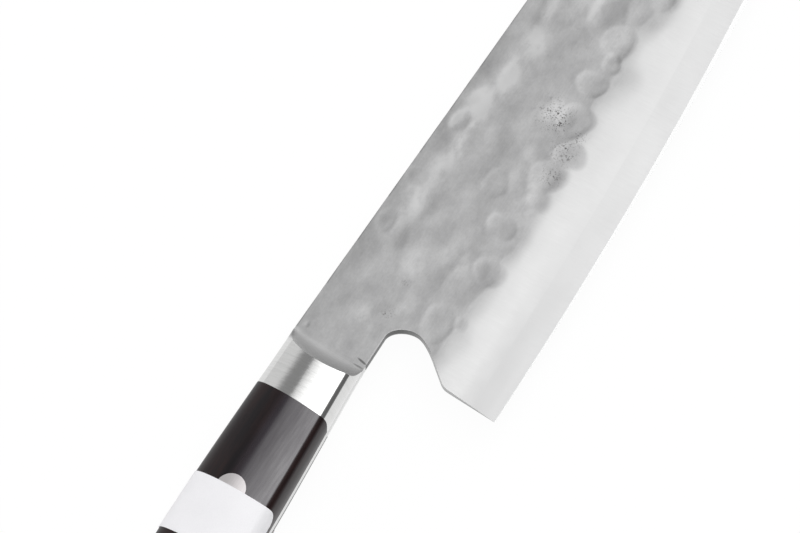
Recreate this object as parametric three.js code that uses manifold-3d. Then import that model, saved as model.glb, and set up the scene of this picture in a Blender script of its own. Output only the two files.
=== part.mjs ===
// Santoku kitchen knife with a three-layer ground blade, a full tang, a bolster in two halves,
// two handle scales, three two-part rivets and a paper band round the handle.
// Millimetres. x runs from the butt to the tip, y from the cutting edge up to the spine,
// and z out of the right face. x = 0 is the bolster's front, y = 0 the top of the bolster,
// and z = 0 the middle of the blade, until the finished knife is laid down on its left side.
import * as THREE from 'three';
import { mergeVertices } from 'three/addons/utils/BufferGeometryUtils.js';
import Module from 'manifold-3d';

const wasm = await Module();
wasm.setup();

// Blade outline
const BLADE_LENGTH = 170; // heel to tip
const NECK_LENGTH = 7.7; // bolster front to heel
const HEEL_HEIGHT = 50.6; // spine line to cutting edge at the heel
const CHIN_HEIGHT = 14.3; // straight back of the heel above the edge
const CHIN_LEAD = 0.75; // how far the chin stands in front of the heel
const CHIN_RADIUS = 1.3; // rounding where the chin turns into the finger notch
const NOTCH_DEPTH = 7.6; // how far the finger notch reaches in past the chin
const NOTCH_SHOULDER = 5.9; // drop from the neck's belly to the deepest point of the notch
const NOTCH_LEAD = 4.4; // length over which the neck's belly rolls into the notch
const NOTCH_SIDE = 2.4; // drop from the deepest point to the corner of the slant to the chin
const NOTCH_BEND = 5.7; // length over which that slant rolls into the notch
const TIP_DROP = 40; // spine line to tip
const SPINE_DROP = 3.6; // fall of the straight spine where the tip's curve starts
const TIP_CURVE = 58; // length of the curved spine before the tip
const TIP_CURVE_LEAD = 30; // how far the spine keeps its line into that curve
const TIP_CURVE_NOSE = 17; // how far above the tip the curve turns in
const TIP_CURVE_SLANT = 7; // how far behind the tip it does so
const EDGE_LEAD = 52; // how far the edge keeps its line from the heel
const EDGE_LEAD_FALL = 1.2; // fall of the edge over that length
const EDGE_NOSE = 38; // how far from the tip the edge starts to sweep up
const EDGE_NOSE_RISE = 1; // rise of the edge from the heel's level at that place

// Blade section
const SPINE_THICKNESS = 3; // at the bolster, and over the whole tang
const TIP_THICKNESS = 1.6; // of the flats, extended to the tip
const CORE_THICKNESS = 1.2; // hard middle layer
const BEVEL_WIDTH = 18.4; // ground bevel above the edge
const SHOULDER_THICKNESS = 0.45; // just above the final edge
const FINAL_EDGE = 0.6; // height of the final edge

// Handle outline, heights below its own spine line
const HANDLE_LENGTH = 118; // bolster front to butt
const BOLSTER_HEIGHT = 18.75;
const SWELL_HEIGHT = 21.9;
const SWELL_SETBACK = 47; // bolster front to the belly's swell
const WAIST_HEIGHT = 20.8;
const WAIST_FROM_BUTT = 36;
const BEAK_HEIGHT = 22.6;
const BEAK_FROM_BUTT = 9;
const SPINE_RISE = 0.6; // rise of the handle's spine at the swell
const SPINE_FALL = 3.2; // fall of the handle's spine at the beak

// Handle thickness across both scales
const BOLSTER_THICKNESS = 14.6;
const SWELL_THICKNESS = 17.2;
const WAIST_THICKNESS = 17;
const BEAK_THICKNESS = 18.6;

// Rounding of the butt, as the end is seen from the side and from above
const BUTT_LENGTH = 6;
const BUTT_SPINE_ROUND = 6.5;
const BUTT_BELLY_ROUND = 3.6;
const BUTT_FACE_ROUND = 3.2;

// Section of one side of the handle, a chain of smooth arcs from spine to belly:
// radius in mm, turn in degrees and number of steps
const SPINE_ARC = { radius: 3.2, turn: 29, steps: 4 };
const SPINE_CORNER = { radius: 5, turn: 32, steps: 4 };
const SHOULDER_ARC = { radius: 13.4, turn: 28, steps: 5 };
const FACE_ARC = { radius: 24, turn: 13, steps: 4 };
const BELLY_CORNER = { radius: 1.9, turn: 60, steps: 5 };
const BELLY_ARC = { radius: 15, turn: 18, steps: 3 };

// Bolster
const BOLSTER_LENGTH = 13.5; // front to the scales
const SCOOP_RADIUS = 6; // hollow ramp at the front
const SCOOP_TOE = 3.2; // how far the ramp runs out over the neck
const TOE_THICKNESS = 0.25; // of the ramp's end on the blade

// Rivets
const RIVET_SETBACK = 25.4; // scale front to the front rivet
const RIVET_FROM_BUTT = 14; // butt to the rear rivet
const RIVET_RISE = 0.9; // above the middle of the handle's height
const RIVET_HEAD = 7.2; // diameter
const RIVET_HEAD_DEPTH = 2.4; // below the middle of the handle's face
const RIVET_SOCKET = 5; // outer diameter
const RIVET_SHANK = 3.4; // diameter
const SOCKET_REACH = 2.6; // past the tang, into the other scale
const SHANK_END_GAP = 0.6; // left in the bottom of the socket
const RIVET_CLEARANCE = 0.12; // all round, in the scales and the tang

// Paper band
const BAND_SETBACK = 24.9; // scale front to the band's front edge
const BAND_WIDTH = 15.2;
const BAND_THICKNESS = 0.2;
const BAND_CLEARANCE = 0.1; // to the scales
const BAND_OPENING = 8.4; // between its ends on the belly

// Fineness of curved surfaces
const HANDLE_STEPS = 15;
const BUTT_STEPS = 5;
const EDGE_STEPS = 30;
const CURVE_STEPS = 14;
const ROUND_STEPS = 28;

// Lengths that follow from the driving dimensions
const MARGIN = 5; // how far a cutting tool runs past the material
const REACH = HANDLE_LENGTH + NECK_LENGTH + BLADE_LENGTH + HEEL_HEIGHT; // longer than any piece
const TANG_HALF = SPINE_THICKNESS / 2;
const HEEL_X = NECK_LENGTH;
const TIP_X = HEEL_X + BLADE_LENGTH;
const BUTT_X = -HANDLE_LENGTH;
const SCALE_X = -BOLSTER_LENGTH;

const finish = (color, roughness, metalness) =>
  new THREE.MeshStandardMaterial({ color, roughness, metalness });

const finishes = {
  core: finish(0xcfd0d1, 0.28, 1),
  cladding: finish(0xa8a9aa, 0.42, 1),
  bolster: finish(0xe2e3e4, 0.12, 1),
  scale: finish(0x241f20, 0.35, 0),
  rivet: finish(0xc4c5c6, 0.3, 1),
  band: finish(0xf2f1ee, 0.8, 0),
};

// Solids and meshes

function toSolid(geometry) {
  const bare = geometry.clone();
  bare.deleteAttribute('normal');
  bare.deleteAttribute('uv');
  const merged = mergeVertices(bare);
  return new wasm.Manifold(new wasm.Mesh({
    numProp: 3,
    vertProperties: new Float32Array(merged.attributes.position.array),
    triVerts: new Uint32Array(merged.index.array),
  }));
}

function toMesh(name, solid, material) {
  const { numProp, vertProperties, triVerts } = solid.getMesh();
  const geometry = new THREE.BufferGeometry();
  geometry.setAttribute('position', new THREE.BufferAttribute(new Float32Array(vertProperties), numProp));
  geometry.setIndex(new THREE.BufferAttribute(new Uint32Array(triVerts), 1));
  geometry.computeVertexNormals();
  const mesh = new THREE.Mesh(geometry, material.clone());
  mesh.name = name;
  return mesh;
}

// A closed solid through rings of points that run counter-clockwise in the y-z plane,
// one ring for each place along x
function loft(rings) {
  const count = rings[0].points.length;
  const positions = rings.flatMap(({ x, points }) => points.flatMap((p) => [x, p.x, p.y]));
  const index = [];
  for (let i = 0; i + 1 < rings.length; i++) {
    for (let j = 0; j < count; j++) {
      const next = (j + 1) % count;
      const a = i * count + j;
      const b = i * count + next;
      index.push(a, b, b + count, a, b + count, a + count);
    }
  }
  const last = (rings.length - 1) * count;
  for (const [a, b, c] of THREE.ShapeUtils.triangulateShape(rings[0].points, [])) index.push(c, b, a);
  for (const [a, b, c] of THREE.ShapeUtils.triangulateShape(rings.at(-1).points, [])) {
    index.push(last + a, last + b, last + c);
  }
  const geometry = new THREE.BufferGeometry();
  geometry.setAttribute('position', new THREE.Float32BufferAttribute(positions, 3));
  geometry.setIndex(index);
  return toSolid(geometry);
}

// Everything between two heights, wider than the whole knife
function slab(low, high) {
  const geometry = new THREE.BoxGeometry(2 * REACH, 2 * REACH, high - low);
  const { position } = geometry.attributes;
  for (let i = 0; i < position.count; i++) position.setZ(i, position.getZ(i) < 0 ? low : high);
  return toSolid(geometry);
}

// Handle outline: spine, belly and half thickness along x

function smoothLine(knots) {
  const inOrder = [...knots].sort((a, b) => a[0] - b[0]);
  const line = new THREE.CubicInterpolant(inOrder.map((k) => k[0]), inOrder.map((k) => k[1]), 1);
  return (x) => line.evaluate(x)[0];
}

const swellX = -SWELL_SETBACK;
const waistX = BUTT_X + WAIST_FROM_BUTT;
const beakX = BUTT_X + BEAK_FROM_BUTT;
const waistSpine = (SPINE_RISE - SPINE_FALL) / 5;

const handleSpine = smoothLine([[0, 0], [swellX, SPINE_RISE], [waistX, waistSpine], [beakX, -SPINE_FALL]]);
const handleBelly = smoothLine([
  [0, -BOLSTER_HEIGHT],
  [swellX, SPINE_RISE - SWELL_HEIGHT],
  [waistX, waistSpine - WAIST_HEIGHT],
  [beakX, -SPINE_FALL - BEAK_HEIGHT],
]);
const handleHalf = smoothLine([
  [0, BOLSTER_THICKNESS / 2],
  [swellX, SWELL_THICKNESS / 2],
  [waistX, WAIST_THICKNESS / 2],
  [beakX, BEAK_THICKNESS / 2],
]);

function handleStation(x) {
  return { x, spine: handleSpine(x), belly: handleBelly(x), half: handleHalf(x) };
}

// The butt's end, where spine, belly and faces round over
function buttStations() {
  const stations = [];
  for (let i = 0; i < BUTT_STEPS; i++) {
    const angle = (Math.PI / 2) * (1 - i / BUTT_STEPS);
    const inset = 1 - Math.cos(angle);
    const station = handleStation(BUTT_X + BUTT_LENGTH * (1 - Math.sin(angle)));
    station.spine -= BUTT_SPINE_ROUND * inset;
    station.belly += BUTT_BELLY_ROUND * inset;
    station.half -= BUTT_FACE_ROUND * inset;
    stations.push(station);
  }
  return stations;
}

function spread(from, to, steps) {
  return Array.from({ length: steps + 1 }, (_, i) => handleStation(from + ((to - from) * i) / steps));
}

const scaleStations = [...buttStations(), ...spread(BUTT_X + BUTT_LENGTH, SCALE_X, HANDLE_STEPS)];
const bolsterStations = spread(SCALE_X, SCOOP_TOE, 5);

// One side of the handle's section as shares of its height and of its reach out from the tang
function arcChain(arcs) {
  const points = [new THREE.Vector2(0, 0)];
  let turned = 0;
  for (const { radius, turn, steps } of arcs) {
    const start = points.at(-1);
    for (let i = 1; i <= steps; i++) {
      const from = THREE.MathUtils.degToRad(turned);
      const to = THREE.MathUtils.degToRad(turned + (turn * i) / steps);
      const down = radius * (Math.cos(to) - Math.cos(from));
      const out = radius * (Math.sin(to) - Math.sin(from));
      points.push(new THREE.Vector2(start.x + down, start.y + out));
    }
    turned += turn;
  }
  return points;
}

const sideArcs = arcChain([SPINE_ARC, SPINE_CORNER, SHOULDER_ARC, FACE_ARC, BELLY_CORNER, BELLY_ARC]);
const sideHeight = -sideArcs.at(-1).x;
const sideLow = sideArcs.at(-1).y;
const sideReach = Math.max(...sideArcs.map((p) => p.y - (sideLow * -p.x) / sideHeight));
const sideShares = sideArcs.map((p) => {
  const drop = -p.x / sideHeight;
  return new THREE.Vector2(drop, (p.y - sideLow * drop) / sideReach);
});

// Right side of the section from spine to belly, then the left side back from belly to spine
function handleSection({ spine, belly, half }) {
  const right = sideShares.map((share) => new THREE.Vector2(
    spine - share.x * (spine - belly),
    TANG_HALF + share.y * (half - TANG_HALF),
  ));
  const left = right.map((p) => new THREE.Vector2(p.x, -p.y)).reverse();
  return { right, left };
}

function handleRing(station) {
  const { right, left } = handleSection(station);
  return { x: station.x, points: [...right, ...left] };
}

// Blade and tang

const edgeLevel = -HEEL_HEIGHT;
const chin = new THREE.Vector2(HEEL_X + CHIN_LEAD, edgeLevel + CHIN_HEIGHT);
const tip = new THREE.Vector2(TIP_X, -TIP_DROP);
const edge = new THREE.CubicBezierCurve(
  new THREE.Vector2(HEEL_X, edgeLevel),
  new THREE.Vector2(HEEL_X + EDGE_LEAD, edgeLevel - EDGE_LEAD_FALL),
  new THREE.Vector2(TIP_X - EDGE_NOSE, edgeLevel + EDGE_NOSE_RISE),
  tip,
);

// Side view of blade and tang, left open below the cutting edge
function bladeOutline() {
  const tang = [...scaleStations, ...spread(SCALE_X, SCOOP_TOE, 2).slice(1)];
  const neck = handleBelly(SCOOP_TOE);
  const curveX = TIP_X - TIP_CURVE;
  const slope = SPINE_DROP / curveX;
  const apex = new THREE.Vector2(chin.x + NOTCH_DEPTH, neck - NOTCH_SHOULDER);
  const corner = new THREE.Vector2(apex.x, apex.y - NOTCH_SIDE);
  const slant = corner.clone().sub(chin).normalize();
  const slantStart = chin.clone().addScaledVector(slant, CHIN_RADIUS);
  const slantEnd = corner.clone().addScaledVector(slant, -NOTCH_BEND);
  const back = chin.clone().sub(new THREE.Vector2(HEEL_X, edgeLevel)).setLength(CHIN_RADIUS);
  const below = edgeLevel - EDGE_LEAD_FALL - MARGIN;

  const shape = new THREE.Shape(tang.map(({ x, spine }) => new THREE.Vector2(x, spine)));
  shape.lineTo(curveX, -SPINE_DROP);
  shape.bezierCurveTo(
    curveX + TIP_CURVE_LEAD, -SPINE_DROP - slope * TIP_CURVE_LEAD,
    TIP_X - TIP_CURVE_SLANT, tip.y + TIP_CURVE_NOSE,
    tip.x, tip.y,
  );
  shape.lineTo(TIP_X, below);
  shape.lineTo(HEEL_X, below);
  shape.lineTo(HEEL_X, edgeLevel);
  shape.lineTo(chin.x - back.x, chin.y - back.y);
  shape.quadraticCurveTo(chin.x, chin.y, slantStart.x, slantStart.y);
  shape.lineTo(slantEnd.x, slantEnd.y);
  shape.quadraticCurveTo(corner.x, corner.y, apex.x, apex.y);
  shape.bezierCurveTo(
    apex.x, apex.y + NOTCH_SHOULDER / 2,
    apex.x - NOTCH_LEAD / 2, neck,
    apex.x - NOTCH_LEAD, neck,
  );
  for (const { x, belly } of tang.reverse()) shape.lineTo(x, belly);
  const geometry = new THREE.ExtrudeGeometry(shape, {
    depth: SPINE_THICKNESS + 2 * MARGIN,
    bevelEnabled: false,
    curveSegments: CURVE_STEPS,
  });
  geometry.translate(0, 0, -TANG_HALF - MARGIN);
  return toSolid(geometry);
}

// Half thickness of the flats: even over the tang and neck, then thinning to the tip
function flatHalf(x) {
  const run = THREE.MathUtils.clamp((x - SCOOP_TOE) / (TIP_X - SCOOP_TOE), 0, 1);
  return THREE.MathUtils.lerp(SPINE_THICKNESS, TIP_THICKNESS, run) / 2;
}

// Section of the ground blade: flats, a long bevel on each side, and the final edge
function groundRing(x, edgeY) {
  const half = flatHalf(x);
  const shoulder = SHOULDER_THICKNESS / 2;
  const outline = [
    [MARGIN, -half],
    [MARGIN, half],
    [edgeY + BEVEL_WIDTH, half],
    [edgeY + FINAL_EDGE, shoulder],
    [edgeY, 0],
    [edgeY + FINAL_EDGE, -shoulder],
    [edgeY + BEVEL_WIDTH, -half],
  ];
  return { x, points: outline.map(([y, z]) => new THREE.Vector2(y, z)) };
}

function groundBlade() {
  const rings = [BUTT_X - MARGIN, SCOOP_TOE].map((x) => groundRing(x, edgeLevel));
  for (const { x, y } of edge.getPoints(EDGE_STEPS)) rings.push(groundRing(x, y));
  rings.push(groundRing(TIP_X + MARGIN, tip.y));
  return bladeOutline().intersect(loft(rings));
}

// Rivets: a shank half from the right, pressed into a socket half from the left

const frontRivetX = SCALE_X - RIVET_SETBACK;
const rearRivetX = BUTT_X + RIVET_FROM_BUTT;
const middleRivetX = (frontRivetX + rearRivetX) / 2;

function turned(profile) {
  const outline = profile.map(([radius, z]) => new THREE.Vector2(radius, z));
  return new THREE.LatheGeometry(outline, ROUND_STEPS).rotateX(Math.PI / 2);
}

function rivetPlace(x) {
  const { spine, belly, half } = handleStation(x);
  return { x, y: (spine + belly) / 2 + RIVET_RISE, seat: half - RIVET_HEAD_DEPTH, top: half + MARGIN };
}

function placed(geometry, { x, y }) {
  return toSolid(geometry.translate(x, y, 0));
}

function rivetShank(place) {
  const head = RIVET_HEAD / 2;
  const shank = RIVET_SHANK / 2;
  const end = -place.seat + SHANK_END_GAP;
  return placed(turned([[0, end], [shank, end], [shank, place.seat], [head, place.seat],
    [head, place.top], [0, place.top]]), place);
}

function rivetSocket(place) {
  const head = RIVET_HEAD / 2;
  const socket = RIVET_SOCKET / 2;
  const bore = RIVET_SHANK / 2 + RIVET_CLEARANCE;
  const mouth = TANG_HALF + SOCKET_REACH;
  return placed(turned([[0, -place.top], [head, -place.top], [head, -place.seat], [socket, -place.seat],
    [socket, mouth], [bore, mouth], [bore, -place.seat], [0, -place.seat]]), place);
}

// Room for a closed rivet with its clearance, right through the handle
function rivetHole(place) {
  const head = RIVET_HEAD / 2 + RIVET_CLEARANCE;
  const socket = RIVET_SOCKET / 2 + RIVET_CLEARANCE;
  const seat = place.seat - RIVET_CLEARANCE;
  return placed(turned([[0, -place.top], [head, -place.top], [head, -seat], [socket, -seat],
    [socket, seat], [head, seat], [head, place.top], [0, place.top]]), place);
}

const rivets = [
  { name: 'front', place: rivetPlace(frontRivetX) },
  { name: 'middle', place: rivetPlace(middleRivetX) },
  { name: 'rear', place: rivetPlace(rearRivetX) },
];

function drilled(solid) {
  return rivets.reduce((left, { place }) => left.subtract(rivetHole(place)), solid);
}

// Bolster halves: the handle's section hollowed at the front into a ramp

function scoop(side) {
  const toe = TANG_HALF + TOE_THICKNESS;
  const shape = new THREE.Shape();
  shape.moveTo(SCOOP_TOE + MARGIN, toe);
  shape.lineTo(SCOOP_TOE, toe);
  shape.absarc(SCOOP_TOE, toe + SCOOP_RADIUS, SCOOP_RADIUS, -Math.PI / 2, -Math.PI, true);
  shape.lineTo(SCOOP_TOE - SCOOP_RADIUS, BOLSTER_THICKNESS);
  shape.lineTo(SCOOP_TOE + MARGIN, BOLSTER_THICKNESS);
  const geometry = new THREE.ExtrudeGeometry(shape, {
    depth: BOLSTER_HEIGHT + 2 * MARGIN,
    bevelEnabled: false,
    curveSegments: CURVE_STEPS,
  });
  geometry.rotateX(Math.PI / 2).translate(0, MARGIN, 0);
  if (side < 0) geometry.rotateX(Math.PI).translate(0, -BOLSTER_HEIGHT, 0);
  return toSolid(geometry);
}

// Paper band: wrapped over the spine and both faces, with its ends apart on the belly

function offsetPath(path, distance) {
  return path.map((p, i) => {
    const before = path[Math.max(i - 1, 0)];
    const after = path[Math.min(i + 1, path.length - 1)];
    const along = after.clone().sub(before).normalize();
    return new THREE.Vector2(p.x + along.y * distance, p.y - along.x * distance);
  });
}

function bandRing(station) {
  const { right } = handleSection(station);
  const belly = right.findIndex((p, i) => i > right.length / 2 && p.y < BAND_OPENING / 2);
  const [inside, outside] = [right[belly - 1], right[belly]];
  const share = (inside.y - BAND_OPENING / 2) / (inside.y - outside.y);
  const covered = [...right.slice(0, belly), inside.clone().lerp(outside, share)];
  const mirrored = covered.map((p) => new THREE.Vector2(p.x, -p.y)).reverse();
  const path = [...mirrored, ...covered];
  const outer = offsetPath(path, BAND_CLEARANCE + BAND_THICKNESS);
  const inner = offsetPath(path, BAND_CLEARANCE);
  return { x: station.x, points: [...outer, ...inner.reverse()] };
}

// Assembly

const coreHalf = CORE_THICKNESS / 2;
const sides = [
  { name: 'right', side: 1, besideTang: slab(TANG_HALF, REACH), besideCore: slab(coreHalf, REACH) },
  { name: 'left', side: -1, besideTang: slab(-REACH, -TANG_HALF), besideCore: slab(-REACH, -coreHalf) },
];
const scaleBody = loft(scaleStations.map(handleRing));
const bolsterBody = loft(bolsterStations.map(handleRing));
const billet = drilled(groundBlade());

const blade = new THREE.Group();
blade.add(toMesh('core_steel', billet.intersect(slab(-coreHalf, coreHalf)), finishes.core));
const handle = new THREE.Group();
for (const { name, side, besideTang, besideCore } of sides) {
  blade.add(toMesh(`cladding_${name}`, billet.intersect(besideCore), finishes.cladding));
  const bolster = bolsterBody.intersect(besideTang).subtract(scoop(side));
  handle.add(toMesh(`bolster_${name}`, bolster, finishes.bolster));
  handle.add(toMesh(`handle_scale_${name}`, drilled(scaleBody.intersect(besideTang)), finishes.scale));
}
for (const { name, place } of rivets) {
  handle.add(toMesh(`rivet_${name}_shank`, rivetShank(place).intersect(scaleBody), finishes.rivet));
  handle.add(toMesh(`rivet_${name}_socket`, rivetSocket(place).intersect(scaleBody), finishes.rivet));
}
const bandFront = SCALE_X - BAND_SETBACK;
const band = loft(spread(bandFront - BAND_WIDTH, bandFront, 4).map(bandRing));
handle.add(toMesh('paper_band', band, finishes.band));

// Laid on its left side, with the origin under the middle of its box
const knife = new THREE.Group();
knife.add(blade, handle);
const box = new THREE.Box3().setFromObject(knife);
const middle = box.getCenter(new THREE.Vector3());
knife.position.set(-middle.x, -middle.y, -box.min.z);

export default knife;
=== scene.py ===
"""Looks of a santoku kitchen knife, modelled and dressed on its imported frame.

Sizes are millimetres in the knife's own axes: x runs from the butt to the tip with 0 at the
bolster's front, y from the cutting edge up to the spine with 0 at the top of the bolster, and
z out of the right face with 0 in the middle of the blade. The last step in the making of each
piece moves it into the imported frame, in metres.
"""

import logging
import math
import random
from collections.abc import Callable, Iterable, Mapping, Sequence
from dataclasses import dataclass, field
from enum import Enum
from functools import cached_property
from typing import Any, ClassVar, NamedTuple

import bmesh
import bpy
import numpy as np
from mathutils import Matrix, Vector, noise
from mathutils.geometry import interpolate_bezier


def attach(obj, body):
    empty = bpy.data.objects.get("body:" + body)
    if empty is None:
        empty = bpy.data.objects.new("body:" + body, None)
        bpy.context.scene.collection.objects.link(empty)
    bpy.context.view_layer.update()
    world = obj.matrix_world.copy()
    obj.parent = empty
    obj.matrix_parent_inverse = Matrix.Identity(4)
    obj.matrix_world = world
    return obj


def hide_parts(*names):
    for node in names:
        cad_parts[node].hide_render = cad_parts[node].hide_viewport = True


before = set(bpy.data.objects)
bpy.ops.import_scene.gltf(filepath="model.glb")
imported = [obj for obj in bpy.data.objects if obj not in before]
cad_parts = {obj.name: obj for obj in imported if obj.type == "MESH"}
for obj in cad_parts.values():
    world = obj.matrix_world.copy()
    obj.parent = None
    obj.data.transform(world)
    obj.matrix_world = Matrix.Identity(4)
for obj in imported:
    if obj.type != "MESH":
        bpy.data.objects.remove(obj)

log = logging.getLogger("santoku")

Colour = tuple[float, float, float]
Point = tuple[float, float]

KNIFE_ORIGIN = Vector((-29.85, 24.9864, 9.3))  # the knife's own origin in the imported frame, mm
TO_FRAME = Matrix.Scale(0.001, 4) @ Matrix.Translation(KNIFE_ORIGIN)
MERGED = 1e-4  # mm within which two points are one
ON_PLANE = 1e-5  # mm within which a point lies on a cutting plane
A_HAIR = 1e-3  # mm to one side of a seam


class Side(Enum):
    """The two faces of the knife, by the sign of z."""

    RIGHT = 1
    LEFT = -1

    @property
    def word(self) -> str:
        """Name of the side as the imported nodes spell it."""
        return self.name.lower()


class Cut(Enum):
    """What a cutting tool leaves of the stock."""

    AWAY = "DIFFERENCE"
    COMMON = "INTERSECT"


# Mesh work


def sweep(rings: Sequence[Sequence[Vector]]) -> bmesh.types.BMesh:
    """Extrudes a closed ring from station to station and caps both ends.

    Args:
        rings: Rings of equally many points, in order along the piece.

    Returns:
        A closed mesh with its faces outwards, which carry their number along the piece.
    """
    bm = bmesh.new()
    along = bm.faces.layers.float.new("along")
    ring = [bm.verts.new(point) for point in rings[0]]
    bm.faces.new(ring)
    edges = [bm.edges.get((a, b)) for a, b in zip(ring, ring[1:] + ring[:1])]
    for number, points in enumerate(rings[1:], 1):
        made = bmesh.ops.extrude_edge_only(bm, edges=edges)["geom"]
        new = {item for item in made if isinstance(item, bmesh.types.BMVert)}
        for face in {face for vert in new for face in vert.link_faces}:
            face[along] = number
        ring = [
            next(edge.other_vert(v) for edge in v.link_edges if edge.other_vert(v) in new)
            for v in ring
        ]
        for vert, point in zip(ring, points):
            vert.co = point
        edges = [bm.edges.get((a, b)) for a, b in zip(ring, ring[1:] + ring[:1])]
    bm.faces.new(ring)
    bmesh.ops.remove_doubles(bm, verts=bm.verts[:], dist=MERGED)
    bmesh.ops.recalc_face_normals(bm, faces=bm.faces[:])
    return bm


def lathe(profile: Sequence[Point], place: Vector, steps: int) -> bmesh.types.BMesh:
    """Spins a closed profile of radius and height about an upright axis.

    Args:
        profile: Pairs of radius and z.
        place: A point on the axis.
        steps: Number of sides of the turned piece.

    Returns:
        A closed mesh with its faces outwards.
    """
    bm = bmesh.new()
    verts = [bm.verts.new((place.x + radius, place.y, z)) for radius, z in profile]
    edges = [bm.edges.new(pair) for pair in zip(verts, verts[1:])]
    bmesh.ops.spin(
        bm,
        geom=verts + edges,
        cent=place,
        axis=(0, 0, 1),
        angle=math.tau,
        steps=steps,
        use_merge=True,
    )
    bmesh.ops.remove_doubles(bm, verts=bm.verts[:], dist=MERGED)
    bmesh.ops.recalc_face_normals(bm, faces=bm.faces[:])
    return bm


def machine(stock: bmesh.types.BMesh, tool: bmesh.types.BMesh, cut: Cut) -> bmesh.types.BMesh:
    """Cuts one closed mesh with another and frees both.

    Args:
        stock: The mesh that is cut.
        tool: The mesh that cuts it.
        cut: What is left of the stock.

    Returns:
        The mesh that is left.
    """
    objects = []
    for name, bm in (("stock", stock), ("tool", tool)):
        mesh = bpy.data.meshes.new(name)
        bm.to_mesh(mesh)
        bm.free()
        item = bpy.data.objects.new(name, mesh)
        bpy.context.scene.collection.objects.link(item)
        objects.append(item)
    modifier = objects[0].modifiers.new("cut", "BOOLEAN")
    modifier.operation = cut.value
    modifier.solver = "EXACT"
    modifier.object = objects[1]
    graph = bpy.context.evaluated_depsgraph_get()
    mesh = bpy.data.meshes.new_from_object(objects[0].evaluated_get(graph), depsgraph=graph)
    left = bmesh.new()
    left.from_mesh(mesh)
    bpy.data.meshes.remove(mesh)
    for item in objects:
        bpy.data.meshes.remove(item.data)
    return left


def slice_along(
    bm: bmesh.types.BMesh,
    normal: Vector,
    places: Iterable[float],
    wanted: Callable[[bmesh.types.BMFace], bool],
) -> None:
    """Cuts faces into narrow strips with parallel planes.

    Args:
        bm: The mesh that is cut.
        normal: Direction across the planes.
        places: Distances of the planes along that direction, rising.
        wanted: Whether a face is to be cut.
    """
    faces = [face for face in bm.faces if wanted(face)]
    for place in places:
        edges = {edge for face in faces for edge in face.edges}
        verts = {vert for face in faces for vert in face.verts}
        found = bmesh.ops.bisect_plane(
            bm,
            geom=[*faces, *edges, *verts],
            dist=ON_PLANE,
            plane_co=normal * place,
            plane_no=normal,
        )["geom"]
        faces = [
            item
            for item in found
            if isinstance(item, bmesh.types.BMFace)
            and item.calc_center_bounds().dot(normal) > place
        ]


def trim(bm: bmesh.types.BMesh, height: float, keep: Side) -> None:
    """Cuts a closed mesh level at a height and caps it there.

    Args:
        bm: The mesh that is cut.
        height: Height of the level cut.
        keep: RIGHT keeps what is above the cut, and LEFT what is below.
    """
    found = bmesh.ops.bisect_plane(
        bm,
        geom=[*bm.verts, *bm.edges, *bm.faces],
        dist=ON_PLANE,
        plane_co=(0, 0, height),
        plane_no=(0, 0, 1),
        clear_inner=keep is Side.RIGHT,
        clear_outer=keep is Side.LEFT,
    )["geom_cut"]
    rim = [item for item in found if isinstance(item, bmesh.types.BMEdge)]
    bmesh.ops.triangle_fill(bm, edges=rim, normal=(0, 0, -keep.value))
    for edge in rim:
        edge.smooth = False


def add_piece(
    bm: bmesh.types.BMesh,
    name: str,
    material: bpy.types.Material,
    node: str,
    sharp: float = 32.0,
) -> bpy.types.Object:
    """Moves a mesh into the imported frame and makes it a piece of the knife.

    Args:
        bm: The finished mesh, in millimetres; it is freed.
        name: Name of the piece.
        material: Its finish.
        node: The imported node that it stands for.
        sharp: Angle in degrees above which an edge is shaded sharp.

    Returns:
        The new object.
    """
    for face in bm.faces:
        face.smooth = True
    for edge in bm.edges:
        if edge.calc_face_angle(0.0) > math.radians(sharp):
            edge.smooth = False
    bmesh.ops.transform(bm, matrix=TO_FRAME, verts=bm.verts[:])
    mesh = bpy.data.meshes.new(name)
    bm.to_mesh(mesh)
    bm.free()
    mesh.materials.append(material)
    piece = bpy.data.objects.new(name, mesh)
    bpy.context.scene.collection.objects.link(piece)
    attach(piece, "root")
    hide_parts(node)
    log.info("%s: %d faces", name, len(mesh.polygons))
    return piece


# Shader work


class Value:
    """A number in a node tree, whose arithmetic adds Math nodes."""

    def __init__(self, nodes: "Nodes", socket: bpy.types.NodeSocket) -> None:
        """Wraps an output socket of a tree."""
        self.nodes = nodes
        self.socket = socket

    def __add__(self, other: "Value | float") -> "Value":
        """Sum."""
        return self.nodes.math("ADD", self, other)

    def __radd__(self, other: float) -> "Value":
        """Sum, from the right."""
        return self.nodes.math("ADD", other, self)

    def __sub__(self, other: "Value | float") -> "Value":
        """Difference."""
        return self.nodes.math("SUBTRACT", self, other)

    def __rsub__(self, other: float) -> "Value":
        """Difference, from the right."""
        return self.nodes.math("SUBTRACT", other, self)

    def __mul__(self, other: "Value | float") -> "Value":
        """Product."""
        return self.nodes.math("MULTIPLY", self, other)

    def __rmul__(self, other: float) -> "Value":
        """Product, from the right."""
        return self.nodes.math("MULTIPLY", other, self)


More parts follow.
